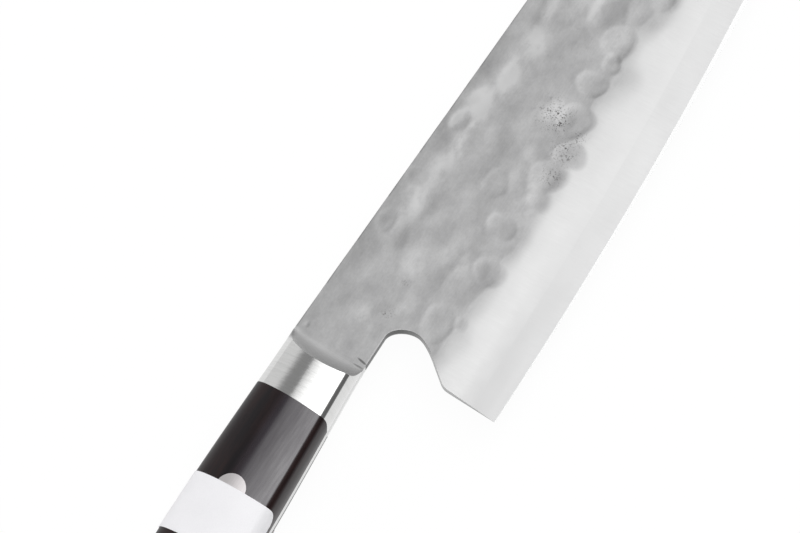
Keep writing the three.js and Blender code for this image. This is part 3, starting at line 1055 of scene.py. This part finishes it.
@dataclass
class Blade:
    """The three-layer blade with its tang: hammered flats, ground bevels and sharpened edge.

    Waves are repeats per millimetre along x and y, and layers are places in their noise.
    """

    handle: HandleForm
    # Side view
    tip: Point = (177.7, -40.0)
    heel: Point = (7.7, -50.6)
    edge_handles: tuple[Point, Point] = ((59.7, -51.8), (139.7, -49.6))
    spine_end: Point = (119.7, -3.6)
    spine_handles: tuple[Point, Point] = ((149.7, -4.5), (170.7, -23.0))
    chin: Point = (8.45, -36.3)
    chin_round: float = 1.3
    notch: Point = (16.05, -24.65)
    notch_side: float = 2.4
    notch_bend: float = 5.7
    notch_lead: float = 4.4
    neck: float = 3.2
    # Section
    spine_half: float = 1.5
    tip_half: float = 0.8
    core_half: float = 0.6
    bevel_width: float = 18.4
    crown: float = 0.08
    blend: float = 0.03
    shoulder_half: float = 0.225
    final_edge: Point = (0.12, 0.97)
    edge_grows: float = 110.0
    edge_ends: float = 4.0
    shoulder_sharp: float = 5.0
    rim_round: float = 0.3
    rim_low: float = -30.0
    rim_turn: float = 1.0
    # Hammered skin
    seen_seed: int = 11
    hidden_seed: int = 23
    dents: dict[Side, list[Dent]] = field(default_factory=dict)
    side_layer: float = 7.0
    stray: float = 1.2
    stray_waves: Point = (0.13, 0.13)
    stray_layers: Point = (0.0, 31.0)
    swell: float = 0.16
    swell_waves: Point = (0.08, 0.11)
    swell_layer: float = 57.0
    swell_from: float = 3.0
    ripple: float = 0.25
    ripple_waves: Point = (0.19, 0.23)
    ripple_layer: float = 83.0
    skin_rise: float = 0.05
    skin_run: float = 6.0
    spine_fall: float = 0.08
    spine_band: float = 6.0
    # What the finishes read
    spot_fall: float = 1.2
    # Painted shade on the upright walls: how upright a wall must be, and how much at each height
    wall_shade_tilt: float = 0.7
    wall_shade_levels: tuple[float, ...] = (-38.0, -31.0, -26.0, -21.0, -14.0, -8.0)
    scale_left: tuple[float, ...] = (0.0, 0.1, 0.55, 1.0, 1.0, 0.2)
    # Painted shade on the lower bevel: how much across its height and along the blade
    bevel_shade_levels: tuple[float, ...] = (-0.4, -0.28, -0.1, 0.03, 0.2, 0.32)
    bevel_shade_across: tuple[float, ...] = (0.5, 0.85, 1.0, 1.0, 0.5, 0.0)
    bevel_shade_places: tuple[float, ...] = (22.0, 37.0, 52.0, 70.0)
    bevel_shade_along: tuple[float, ...] = (1.0, 0.5, 0.4, 0.0)
    pits: tuple[tuple[float, float, float], ...] = (
        (79.2, -23.6, 3.7),
        (77.2, -25.6, 1.8),
        (72.2, -30.2, 2.7),
        (65.4, -31.0, 2.2),
        (77.2, -31.6, 1.6),
        (16.8, -16.4, 1.3),
        (25.2, -15.8, 0.8),
    )
    # Fineness of the mesh
    grid: float = 0.4
    grid_low: float = -50.0
    weld: float = 2e-3
    wall: float = 0.1
    edge_steps: int = 130
    spine_steps: int = 48
    tang_steps: int = 40
    chin_steps: int = 5
    notch_steps: int = 16
    lead_steps: int = 20

    def __post_init__(self) -> None:
        """Lays out the hammer work of both faces, and the lines of edge and spine."""
        work = HammerWork()
        self.dents[Side.RIGHT] = work.dents(SEEN_DENTS, self.seen_seed)
        self.dents[Side.LEFT] = work.dents((), self.hidden_seed)
        line = self.edge_line()
        self._edge_x = np.array([x for x, _ in line])
        self._edge_y = np.array([y for _, y in line])
        spine = [(0.0, 0.0), *self.spine_line()]
        self._spine_x = np.array([x for x, _ in spine])
        self._spine_y = np.array([y for _, y in spine])

    @staticmethod
    def _curve(start: Point, first: Point, second: Point, end: Point, steps: int) -> list[Point]:
        """Points of a Bezier curve, both ends included."""
        corners = [Vector((*corner, 0.0)) for corner in (start, first, second, end)]
        return [(p.x, p.y) for p in interpolate_bezier(*corners, steps + 1)]

    def _arch(self, start: Point, bend: Point, end: Point, steps: int) -> list[Point]:
        """Points of a curve that turns once towards a bend, both ends included."""
        first, second = (
            tuple(a + (b - a) * 2 / 3 for a, b in zip(side, bend)) for side in (start, end)
        )
        return self._curve(start, first, second, end, steps)

    def edge_line(self) -> list[Point]:
        """The cutting edge from heel to tip."""
        return self._curve(self.heel, *self.edge_handles, self.tip, self.edge_steps)

    def spine_line(self) -> list[Point]:
        """The curved part of the spine, down to the tip."""
        return self._curve(self.spine_end, *self.spine_handles, self.tip, self.spine_steps)

    def shoulder_line(self) -> list[Point]:
        """Top of the sharpened strip from heel to tip, which narrows to the heel."""
        return [(x, y + self._final_width(x)) for x, y in self.edge_line()]

    def _final_width(self, x: Any) -> Any:
        """Width of the sharpened strip along the blade."""
        grown = np.clip((x - self.heel[0]) / self.edge_grows, 0.0, 1.0)
        width = self.final_edge[0] + grown * (self.final_edge[1] - self.final_edge[0])
        return width * np.clip((self.tip[0] - x) / self.edge_ends, 0.0, 1.0)

    def _outline(self) -> list[Point]:
        """Side view of blade and tang, with the shoulder line in place of the edge."""
        stations = self.handle.stations(self.neck, self.tang_steps)
        neck_belly = stations[-1].belly
        apex_x, apex_y = self.notch
        chin, heel = Vector(self.chin), Vector(self.heel)
        corner = Vector((apex_x, apex_y - self.notch_side))
        slant = (corner - chin).normalized()
        below_chin = chin - (chin - heel).normalized() * self.chin_round
        start, end = chin + slant * self.chin_round, corner - slant * self.notch_bend
        lead = apex_x - self.notch_lead
        return [
            *((s.x, s.spine) for s in stations),
            *self.spine_line(),
            *self.shoulder_line()[-2::-1],
            *self._arch(tuple(below_chin), self.chin, tuple(start), self.chin_steps),
            *self._arch(tuple(end), tuple(corner), self.notch, self.notch_steps),
            *self._curve(
                self.notch,
                (apex_x, (apex_y + neck_belly) / 2),
                (apex_x - self.notch_lead / 2, neck_belly),
                (lead, neck_belly),
                self.lead_steps,
            )[1:],
            *((s.x, s.belly) for s in reversed(stations)),
        ]

    def _plate(self) -> bmesh.types.BMesh:
        """The blade's outline as a plate of even thickness, with its rims eased."""
        bm = bmesh.new()
        verts = [bm.verts.new((x, y, -self.spine_half)) for x, y in self._outline()]
        bm.faces.new(verts)
        shoulder = self.shoulder_line()
        edge = dict(zip(shoulder, self.edge_line()))
        on_shoulder = [v for v in verts if any(math.dist(v.co.xy, p) < MERGED for p in shoulder)]
        strip = [e for e in bm.edges if all(v in on_shoulder for v in e.verts)]
        made = bmesh.ops.extrude_edge_only(bm, edges=strip)["geom"]
        for vert in (item for item in made if isinstance(item, bmesh.types.BMVert)):
            near = min(shoulder, key=lambda p: math.dist(vert.co.xy, p))
            vert.co.y = edge[near][1]
        bmesh.ops.remove_doubles(bm, verts=bm.verts[:], dist=MERGED)
        made = bmesh.ops.extrude_face_region(bm, geom=bm.faces[:])["geom"]
        raised = [item for item in made if isinstance(item, bmesh.types.BMVert)]
        bmesh.ops.translate(bm, vec=(0.0, 0.0, 2 * self.spine_half), verts=raised)
        bmesh.ops.recalc_face_normals(bm, faces=bm.faces[:])
        rims = [e for e in bm.edges if self._is_open_rim(e)]
        bmesh.ops.bevel(
            bm,
            geom=rims,
            offset=self.rim_round,
            offset_type="OFFSET",
            affect="EDGES",
            segments=3,
            profile=0.5,
            material=-1,
            clamp_overlap=True,
        )
        return bm

    def _is_open_rim(self, edge: bmesh.types.BMEdge) -> bool:
        """Whether an edge of the plate runs along the spine, the neck or the finger notch."""
        level = abs(edge.verts[0].co.z - edge.verts[1].co.z) < MERGED
        back = self.neck - A_HAIR
        open_part = all(v.co.x > back and v.co.y > self.rim_low for v in edge.verts)
        return level and open_part and edge.calc_face_angle(0.0) > self.rim_turn

    def relief(
        self, x: np.ndarray, y: np.ndarray, waves: np.ndarray, side: Side
    ) -> tuple[np.ndarray, np.ndarray]:
        """Height of one face of the blade above its middle.

        Args:
            x: Places along the blade.
            y: Places across it.
            waves: Soft random waves at those places.
            side: Which face.

        Returns:
            The height, and how far the bevel's grinding has cut below the hammered skin.
        """
        run = np.clip((x - self.neck) / (self.tip[0] - self.neck), 0.0, 1.0)
        flat = self.spine_half + run * (self.tip_half - self.spine_half)
        above = y - np.interp(x, self._edge_x, self._edge_y)
        final = self._final_width(x)
        from_neck = (x - self.neck) / self.skin_run
        skin = flat + self.skin_rise * np.clip(from_neck, 0.0, 1.0)
        u, v = x + self.stray * waves[:, 0], y + self.stray * waves[:, 1]
        for dent in self.dents[side]:
            r = ((u - dent.x) / dent.length) ** 2 + ((v - dent.y) / dent.height) ** 2
            skin = skin - dent.depth * np.clip(1.0 - r**dent.level, 0.0, 1.0) ** dent.rim
        swelling = np.clip(from_neck - self.swell_from / self.skin_run, 0.0, 1.0)
        skin = skin + self.swell * waves[:, 2] * swelling
        below_spine = np.interp(x, self._spine_x, self._spine_y) - y
        falling = np.clip(1.0 - below_spine / self.spine_band, 0.0, 1.0)
        skin = skin - self.spine_fall * falling**2
        share = np.clip((above - final) / (self.bevel_width - final), 0.0, None)
        shoulder = self.shoulder_half * final / self.final_edge[1]
        bevel = shoulder + share * (flat - shoulder)
        bevel = bevel + 4 * self.crown * share * np.clip(1.0 - share, 0.0, None)
        sharp = self.shoulder_half * np.clip(above, 0.0, None) / self.final_edge[1]
        gap = np.clip(self.blend - np.abs(skin - bevel), 0.0, None)
        ground = np.minimum(skin, bevel) - gap**2 / (4 * self.blend)
        return np.minimum(ground, sharp), np.clip(skin - bevel, -1.0, 1.0)

    def _waves(self, x: np.ndarray, y: np.ndarray, side: Side) -> np.ndarray:
        """Soft random waves over one face.

        Args:
            x: Places along the blade.
            y: Places across it.
            side: Which face.

        Returns:
            Three columns of about -1 to 1: a stray along, a stray across and a swell.
        """

        def wave(pitch: Point, layer: float) -> np.ndarray:
            """One wave, from its own layer of the noise."""
            depth = layer + self.side_layer * side.value
            spots = zip(pitch[0] * x, pitch[1] * y)
            return np.array([noise.noise((a, b, depth)) for a, b in spots])

        ripple = self.ripple * wave(self.ripple_waves, self.ripple_layer)
        swell = wave(self.swell_waves, self.swell_layer) + ripple
        strays = [wave(self.stray_waves, layer) for layer in self.stray_layers]
        return np.stack([*strays, swell], axis=1)

    def _wear_and_painted_light(self, x: np.ndarray, y: np.ndarray) -> np.ndarray:
        """How far the skin of the seen face is rubbed pale with painted highlights, or darkened
        with painted shade, at some places.
        """
        wear_and_painted_light = np.zeros_like(x)
        for spot in SEEN_WEAR_AND_PAINTED_LIGHT:
            r = ((x - spot.x) / spot.length) ** 2 + ((y - spot.y) / spot.height) ** 2
            wear_and_painted_light = wear_and_painted_light + spot.wear_and_painted_light * np.exp(-(r**self.spot_fall))
        return wear_and_painted_light

    def _painted_bevel_shade(self, x: np.ndarray, height: np.ndarray) -> np.ndarray:
        """How much shade is painted on the lower bevel, most of all beside the core's seam near the
        heel.
        """
        across = np.interp(height - self.core_half, self.bevel_shade_levels, self.bevel_shade_across)
        return across * np.interp(x, self.bevel_shade_places, self.bevel_shade_along)

    def _ground(self, bm: bmesh.types.BMesh) -> bmesh.types.BMesh:
        """Forges, hammers and grinds the sliced plate to its real relief.

        Args:
            bm: The plate, which is freed.

        Returns:
            The finished blade, with what its finishes read as attributes of its points.
        """
        mesh = bpy.data.meshes.new("billet")
        bm.to_mesh(mesh)
        bm.free()
        places = np.empty(len(mesh.vertices) * 3, np.float32)
        mesh.vertices.foreach_get("co", places)
        places = places.reshape(-1, 3).astype(float)
        x, y, z = places.T.copy()
        height, grind, wear_and_painted_light = np.empty_like(x), np.empty_like(x), np.zeros_like(x)
        for side in Side:
            on = z * side.value >= 0
            waves = self._waves(x[on], y[on], side)
            height[on], grind[on] = self.relief(x[on], y[on], waves, side)
            if side is Side.RIGHT:
                strays = self.stray * waves[:, :2].T
                wear_and_painted_light[on] = self._wear_and_painted_light(x[on] + strays[0], y[on] + strays[1])
        places[:, 2] = z / self.spine_half * height
        mesh.vertices.foreach_set("co", places.astype(np.float32).ravel())
        above = y - np.interp(x, self._edge_x, self._edge_y) - self._final_width(x)
        pitting = sum(
            np.exp(-(((x - px) ** 2 + (y - py) ** 2) / size**2)) for px, py, size in self.pits
        )
        for name, values in (
            ("grind", grind),
            ("above_final_edge", above),
            ("pitting", np.clip(pitting * (z > 0), 0.0, 1.0)),
            ("wear_and_painted_light", wear_and_painted_light),
            # dull carries the painted shade of the lower bevel
            ("dull", self._painted_bevel_shade(x, np.abs(places[:, 2]))),
        ):
            attribute = mesh.attributes.new(name, "FLOAT", "POINT")
            attribute.data.foreach_set("value", values.astype(np.float32))
        ground = bmesh.new()
        ground.from_mesh(mesh)
        bpy.data.meshes.remove(mesh)
        self._clear_slivers(ground)
        self._paint_wall_shade(ground)
        return ground

    def _clear_slivers(self, bm: bmesh.types.BMesh) -> None:
        """Welds points that the slicing left close together, and drops what folds flat by it.

        The points are put in a fixed order first, so that every run keeps the same ones.
        """
        for rank, vert in enumerate(sorted(bm.verts, key=lambda vert: vert.co[:])):
            vert.index = rank
        bm.verts.sort()
        bmesh.ops.remove_doubles(bm, verts=bm.verts[:], dist=self.weld)
        fins = [face for face in bm.faces if any(edge.is_boundary for edge in face.edges)]
        bmesh.ops.delete(bm, geom=fins, context="FACES")

    def _paint_wall_shade(self, bm: bmesh.types.BMesh) -> None:
        """Notes the tang's faces, and paints shade on the blade's upright walls in the layer named
        scale, most along the neck above the notch and faint along the spine.
        """
        # The layer scale holds the painted shade of the walls
        scale = bm.faces.layers.float.new("scale")
        tang = bm.faces.layers.float.new("tang")
        for face in bm.faces:
            middle = face.calc_center_median()
            upright = 1.0 - min(abs(face.normal.z) / self.wall_shade_tilt, 1.0)
            left = np.interp(middle.y, self.wall_shade_levels, self.scale_left)
            face[tang] = float(middle.x < self.neck)
            face[scale] = upright * float(left) * (1.0 - face[tang])

    def build(self, rivet_holes: bmesh.types.BMesh) -> None:
        """Makes the blade and splits it into its core and its two claddings.

        Args:
            rivet_holes: Drills for the tang, which are freed.
        """
        plate = machine(self._plate(), rivet_holes, Cut.AWAY)
        open_blade = self.neck + A_HAIR
        slice_along(
            plate,
            Vector((1.0, 0.0, 0.0)),
            np.arange(open_blade, self.tip[0], self.grid),
            lambda face: True,
        )
        slice_along(
            plate,
            Vector((0.0, 1.0, 0.0)),
            np.arange(self.grid_low, 0.0, self.grid),
            lambda face: face.calc_center_bounds().x > self.neck and abs(face.normal.z) > self.wall,
        )
        billet = self._ground(plate)
        cladding = CladdingFinish().material()
        for side in Side:
            layer = billet.copy()
            trim(layer, side.value * self.core_half, side)
            add_piece(
                layer,
                f"{side.word}_cladding",
                cladding,
                f"cladding_{side.word}",
            )
        trim(billet, self.core_half, Side.LEFT)
        trim(billet, -self.core_half, Side.RIGHT)
        core = CoreFinish().material()
        add_piece(billet, "core_layer", core, "core_steel", self.shoulder_sharp)


@dataclass
class Bolster:
    """The two bolster halves, hollowed at the front into a ramp that runs out on the neck.

    Names in middle, half, fade and end are shares of the section's height, the first two from
    the spine and the others from the nearer end of the section.
    """

    handle: HandleForm
    length: float = 13.5
    ramp_radius: float = 6.0
    toe: float = 3.2
    toe_height: float = 0.02
    bow: float = 1.2
    bow_middle: float = 0.55
    bow_half: float = 0.45
    pinch: float = 0.8
    spine_fade: float = 0.12
    belly_fade: float = 0.05
    satin: float = -0.8
    satin_lift: float = 2.4
    satin_end: float = 0.07
    lean: float = 0.8
    lean_middle: float = 0.6
    heel_lap: float = 0.9
    heel_end: float = 0.035
    face_steps: int = 16
    ramp_steps: int = 18
    crease_halvings: int = 40

    @staticmethod
    def _under(share: Point, end: float) -> float:
        """How far a place is under the belly: 0 to 1 over the end of the section's height."""
        return min(max(1.0 - (1.0 - share[0]) / end, 0.0), 1.0)

    def _ramp_length(self, share: Point) -> float:
        """Length of the ramp, which bows towards the butt in its middle and fades at its ends."""
        bow = self.bow * ((share[0] - self.bow_middle) / self.bow_half) ** 2
        fade = max(1.0 - share[0] / self.spine_fade, self._under(share, self.belly_fade))
        return self.ramp_radius - bow - self.pinch * fade**2

    def _ramp_height(self, x: float, share: Point) -> float:
        """Height of the ramp above the blade's middle."""
        run = (self.toe - x) / self._ramp_length(share)
        rise = self.ramp_radius * (1.0 - math.sqrt(max(1.0 - run**2, 0.0)))
        return self.handle.tang_half + self.toe_height + rise

    def back(self, share: Point) -> float:
        """Where the bolster meets the scale, which laps back a little under the belly."""
        lean = self.lean * (self.lean_middle - share[0])
        return -self.length + lean - self.heel_lap * self._under(share, self.heel_end) ** 2

    def _crease(self, share: Point) -> float:
        """Where a line along the face reaches the ramp."""
        low, high = self.toe - self._ramp_length(share), self.toe
        for _ in range(self.crease_halvings):
            middle = (low + high) / 2
            face = self.handle.point(self.handle.station(middle), share, Side.RIGHT).z
            if face > self._ramp_height(middle, share):
                high = middle
            else:
                low = middle
        return high

    def _line(self, share: Point, side: Side) -> list[Vector]:
        """One line along the face from the scale to the crease, then down the ramp to its toe."""
        satin = self.satin + self.satin_lift * self._under(share, self.satin_end)
        back, crease = self.back(share), min(self._crease(share), satin)
        length = self._ramp_length(share)
        line = []
        for step in range(self.face_steps + 1):
            x = back + (crease - back) * step / self.face_steps
            line.append(self.handle.point(self.handle.station(x), share, side))
        start = math.acos(min(max((self.toe - crease) / length, -1.0), 1.0))
        for step in range(1, self.ramp_steps + 1):
            angle = start + (math.pi / 2 - start) * step / self.ramp_steps
            x = self.toe - length * math.cos(angle)
            point = self.handle.point(self.handle.station(x), share, side)
            height = min(self._ramp_height(x, share), abs(point.z))
            line.append(Vector((x, point.y, side.value * height)))
        return line

    def build(self) -> None:
        """Makes both halves."""
        ramp_from = self.face_steps + 0.5
        material = BolsterFinish(ramp_from, ramp_from + self.ramp_steps).material()
        for side in Side:
            lines = [self._line(share, side) for share in self.handle.shares]
            add_piece(
                sweep([list(ring) for ring in zip(*lines)]),
                f"{side.word}_bolster",
                material,
                f"bolster_{side.word}",
            )


@dataclass
class Rivets:
    """Three rivets of two halves: a shank from the right, pressed into a socket from the left."""

    handle: HandleForm
    places: tuple[tuple[str, float], ...] = (
        ("front", -38.9),
        ("middle", -71.45),
        ("rear", -104.0),
    )
    rise: float = 0.9
    head: float = 3.6
    head_depth: float = 2.4
    socket: float = 2.5
    shank: float = 1.7
    socket_reach: float = 2.6
    end_gap: float = 0.6
    clearance: float = 0.12
    seam: float = 0.03
    sides: int = 64
    stock: float = 5.0
    body_steps: int = 60

    def _place(self, x: float) -> tuple[Vector, float, float]:
        """Middle of a rivet, the height of its head's seat, and a height above the handle."""
        station = self.handle.station(x)
        middle = Vector((x, (station.spine + station.belly) / 2 + self.rise, 0.0))
        return middle, station.half - self.head_depth, station.half + self.stock

    def holes(self) -> bmesh.types.BMesh:
        """Room for all rivets, right through the handle, as one cutting tool."""
        tool = bmesh.new()
        for _, x in self.places:
            middle, seat, top = self._place(x)
            head, socket = self.head + self.seam, self.socket + self.clearance
            seat -= self.clearance
            profile = [
                (0.0, -top),
                (head, -top),
                (head, -seat),
                (socket, -seat),
                (socket, seat),
                (head, seat),
                (head, top),
                (0.0, top),
            ]
            drill = lathe(profile, middle, self.sides)
            mesh = bpy.data.meshes.new("drill")
            drill.to_mesh(mesh)
            drill.free()
            tool.from_mesh(mesh)
            bpy.data.meshes.remove(mesh)
        return tool

    def _halves(self, seat: float, top: float) -> Mapping[str, Sequence[Point]]:
        """Profiles of the two halves of a rivet."""
        bore = self.shank + self.clearance
        mouth = self.handle.tang_half + self.socket_reach
        return {
            "shank": [
                (0.0, -seat + self.end_gap),
                (self.shank, -seat + self.end_gap),
                (self.shank, seat),
                (self.head, seat),
                (self.head, top),
                (0.0, top),
            ],
            "socket": [
                (0.0, -top),
                (self.head, -top),
                (self.head, -seat),
                (self.socket, -seat),
                (self.socket, mouth),
                (bore, mouth),
                (bore, -seat),
                (0.0, -seat),
            ],
        }

    def build(self, front: float) -> None:
        """Makes the rivets and sands their heads flush with the scales.

        Args:
            front: Where the scales end at the bolster.
        """
        material = RivetFinish().material()
        for word, x in self.places:
            middle, seat, top = self._place(x)
            for half, profile in self._halves(seat, top).items():
                turned = lathe(profile, middle, self.sides)
                flush = machine(turned, self.handle.body(front, self.body_steps), Cut.COMMON)
                add_piece(
                    flush,
                    f"{word}_rivet_{half}",
                    material,
                    f"rivet_{word}_{half}",
                )


@dataclass
class Scales:
    """The two wooden handle scales, drilled for the rivets."""

    handle: HandleForm
    bolster: Bolster
    steps: int = 70

    def build(self, rivets: Rivets) -> None:
        """Makes both scales.

        Args:
            rivets: The rivets that they are drilled for.
        """
        material = WoodFinish().material()
        stations = self.handle.stations(-self.bolster.length, self.steps)
        for side in Side:
            rings = [self.handle.section(station, side) for station in stations[:-1]]
            rings.append(
                [
                    self.handle.point(self.handle.station(self.bolster.back(share)), share, side)
                    for share in self.handle.shares
                ]
            )
            wood = machine(sweep(rings), rivets.holes(), Cut.AWAY)
            add_piece(
                wood, f"{side.word}_scale", material, f"handle_scale_{side.word}"
            )


@dataclass
class PaperBand:
    """A plain paper band over spine and faces, with its ends apart on the belly."""

    handle: HandleForm
    front: float = -38.4
    width: float = 15.2
    thickness: float = 0.14
    gap: float = 0.05
    opening: float = 8.4
    corner: float = 3.0
    steps: int = 36
    points: int = 110

    def _path(self, station: Station, inset: float) -> list[Vector]:
        """Line of the band round the handle at one station.

        Args:
            station: The place along the handle.
            inset: How much shorter the line is at both ends, for the band's round corners.

        Returns:
            Evenly spaced points from the left end over the spine to the right end.
        """
        right = self.handle.section(station, Side.RIGHT)
        middle = len(right) // 2
        kept = [p for i, p in enumerate(right) if i < middle or p.z > self.opening / 2]
        line = [Vector((p.x, p.y, -p.z)) for p in reversed(kept)] + kept
        run = np.cumsum([0.0, *((b - a).length for a, b in zip(line, line[1:]))])
        wanted = np.linspace(inset, run[-1] - inset, self.points)
        columns = [np.interp(wanted, run, [p[i] for p in line]) for i in range(3)]
        return [Vector(point) for point in zip(*columns)]

    @staticmethod
    def _offset(path: Sequence[Vector], distance: float) -> list[Vector]:
        """A path moved outwards by a distance."""
        moved = []
        for i, point in enumerate(path):
            along = path[min(i + 1, len(path) - 1)] - path[max(i - 1, 0)]
            moved.append(point + Vector((0.0, along.z, -along.y)).normalized() * distance)
        return moved

    def build(self) -> None:
        """Makes the band."""
        rings = []
        for step in range(self.steps + 1):
            place = self.width / 2 * (1.0 - math.cos(math.pi * step / self.steps))
            near = self.corner - min(place, self.width - place, self.corner)
            inset = self.corner - math.sqrt(self.corner**2 - near**2)
            path = self._path(self.handle.station(self.front - place), inset)
            outer = self._offset(path, self.gap + self.thickness)
            rings.append(outer + self._offset(path, self.gap)[::-1])
        add_piece(
            sweep(rings), "paper_wrap", PaperFinish().material(), "paper_band"
        )


# Studio


@dataclass
class Studio:
    """White table, one wide softbox overhead with a hot middle, and the camera."""

    target: Vector = field(default_factory=lambda: Vector((-0.00145, 0.012563, 0.0093)))
    azimuth: float = -58.222
    elevation: float = 70.5
    distance: float = 0.9
    lens: float = 175.4
    softbox_size: tuple[float, float] = (3.0, 1.19)
    softbox_place: tuple[float, float, float] = (0.36, 0.045, 1.2)
    softbox_radiance: float = 2.7
    softbox_levels: tuple[tuple[float, float], ...] = ((0.0, 0.35), (0.35, 1.0), (1.0, 0.12))
    sensor: float = 36.0
    table_size: float = 12.0
    table_white: Colour = (0.95, 0.95, 0.95)
    table_glow: float = 0.95
    far_wall: float = 0.5
    far_reach: Point = (-0.2, 0.6)
    end_wall: float = 0.8
    end_reach: Point = (0.3, 0.5)
    near_lift: float = 0.9
    near_reach: Point = (-0.7, -0.1)
    flag_dims: float = 0.45
    flag_reach: Point = (-0.02, 0.14)
    walls: tuple[tuple[float, float], ...] = (
        (0.0, 0.82),
        (0.06, 0.8),
        (0.18, 0.31),
        (0.5, 0.28),
        (1.0, 0.3),
    )

    def build(self) -> None:
        """Sets up table, light, surroundings and camera."""
        bpy.context.scene.view_settings.view_transform = "Standard"
        self._table()
        self._softbox()
        self._surroundings()
        self._camera()

    def _table(self) -> None:
        """A white table that is seen as white and keeps a faint shadow."""
        bm = bmesh.new()
        bmesh.ops.create_grid(bm, x_segments=4, y_segments=4, size=self.table_size / 2)
        mesh = bpy.data.meshes.new("table")
        bm.to_mesh(mesh)
        bm.free()
        material = bpy.data.materials.new("white_table")
        material.use_nodes = True
        nodes = Nodes(material.node_tree)
        path = nodes.add("ShaderNodeLightPath").outputs
        rays = ("Is Camera Ray", "Is Glossy Ray", "Is Transmission Ray")
        camera, glossy, transmitted = (Value(nodes, path[ray]) for ray in rays)
        matt = nodes.add("ShaderNodeBsdfDiffuse", None, {"Color": (*self.table_white, 1.0)})
        glow = nodes.add("ShaderNodeEmission", None, {"Color": (1.0,) * 4, "Strength": 1.0})
        both = nodes.add(
            "ShaderNodeMixShader",
            None,
            {
                0: (camera + glossy + transmitted) * self.table_glow,
                1: matt.outputs[0],
                2: glow.outputs[0],
            },
        )
        nodes.add("ShaderNodeOutputMaterial", None, {"Surface": both.outputs[0]})
        mesh.materials.append(material)
        table = bpy.data.objects.new("table", mesh)
        bpy.context.scene.collection.objects.link(table)

    def _softbox(self) -> None:
        """A long softbox straight above, in line with the knife."""
        light = bpy.data.lights.new("softbox", "AREA")
        light.shape = "RECTANGLE"
        light.size, light.size_y = self.softbox_size
        light.energy = self.softbox_radiance * math.pi * light.size * light.size_y
        light.use_nodes = True
        nodes = Nodes(light.node_tree)
        place = nodes.add("ShaderNodeNewGeometry").outputs["Parametric"]
        across = Value(nodes, nodes.add("ShaderNodeSeparateXYZ", None, {0: place}).outputs["Y"])
        level = nodes.add("ShaderNodeValToRGB", {"stops": self.softbox_levels}, {0: across})
        glow = nodes.add("ShaderNodeEmission", None, {"Color": level.outputs[0], "Strength": 1.0})
        nodes.add("ShaderNodeOutputLight", None, {"Surface": glow.outputs[0]})
        lamp = bpy.data.objects.new("softbox", light)
        lamp.location = self.softbox_place
        lamp.visible_camera = False
        bpy.context.scene.collection.objects.link(lamp)

    def _surroundings(self) -> None:
        """A dim room, pale beyond the spine, at both ends and all round at the table's level.

        One dark flag stands on the near side, where the polished corner of the belly mirrors it.
        """
        world = bpy.data.worlds.new("studio")
        world.use_nodes = True
        nodes = Nodes(world.node_tree)
        direction = nodes.add("ShaderNodeTexCoord").outputs["Generated"]
        parts = nodes.add("ShaderNodeSeparateXYZ", None, {0: direction}).outputs
        along, across, up = (Value(nodes, parts[axis]) for axis in "XYZ")
        height = up - self.far_wall * nodes.smooth(across, *self.far_reach)
        room = nodes.add("ShaderNodeValToRGB", {"stops": self.walls}, {0: height})
        ends = nodes.smooth(along * along, *self.end_reach)
        colour = nodes.mix(ends, room.outputs[0], (self.end_wall,) * 3)
        near = (1.0 - nodes.smooth(across, *self.near_reach)) * (1.0 - ends)
        flag = nodes.smooth(along, *self.flag_reach)
        level = 1.0 + near * (self.near_lift - (self.near_lift + self.flag_dims) * flag)
        sky = nodes.add("ShaderNodeBackground", None, {"Color": colour, "Strength": level})
        nodes.add("ShaderNodeOutputWorld", None, {"Surface": sky.outputs[0]})
        bpy.context.scene.world = world

    def _camera(self) -> None:
        """A long lens that looks down on the knife from beside its edge."""
        lens = bpy.data.cameras.new("camera")
        lens.lens = self.lens
        lens.sensor_width = self.sensor
        camera = bpy.data.objects.new("camera", lens)
        a, e = math.radians(self.azimuth), math.radians(self.elevation)
        back = Vector((math.sin(a) * math.cos(e), -math.cos(a) * math.cos(e), math.sin(e)))
        camera.location = self.target + back * self.distance
        camera.rotation_euler = (-back).to_track_quat("-Z", "Y").to_euler()
        bpy.context.scene.collection.objects.link(camera)
        bpy.context.scene.camera = camera


def main() -> None:
    """Builds the studio and the knife."""
    logging.basicConfig(level=logging.INFO, format="%(name)s %(message)s")
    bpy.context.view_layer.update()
    handle = HandleForm()
    bolster = Bolster(handle)
    rivets = Rivets(handle)
    Studio().build()
    Blade(handle).build(rivets.holes())
    bolster.build()
    Scales(handle, bolster).build(rivets)
    rivets.build(-bolster.length)
    PaperBand(handle).build()


if __name__ == "__main__":
    main()
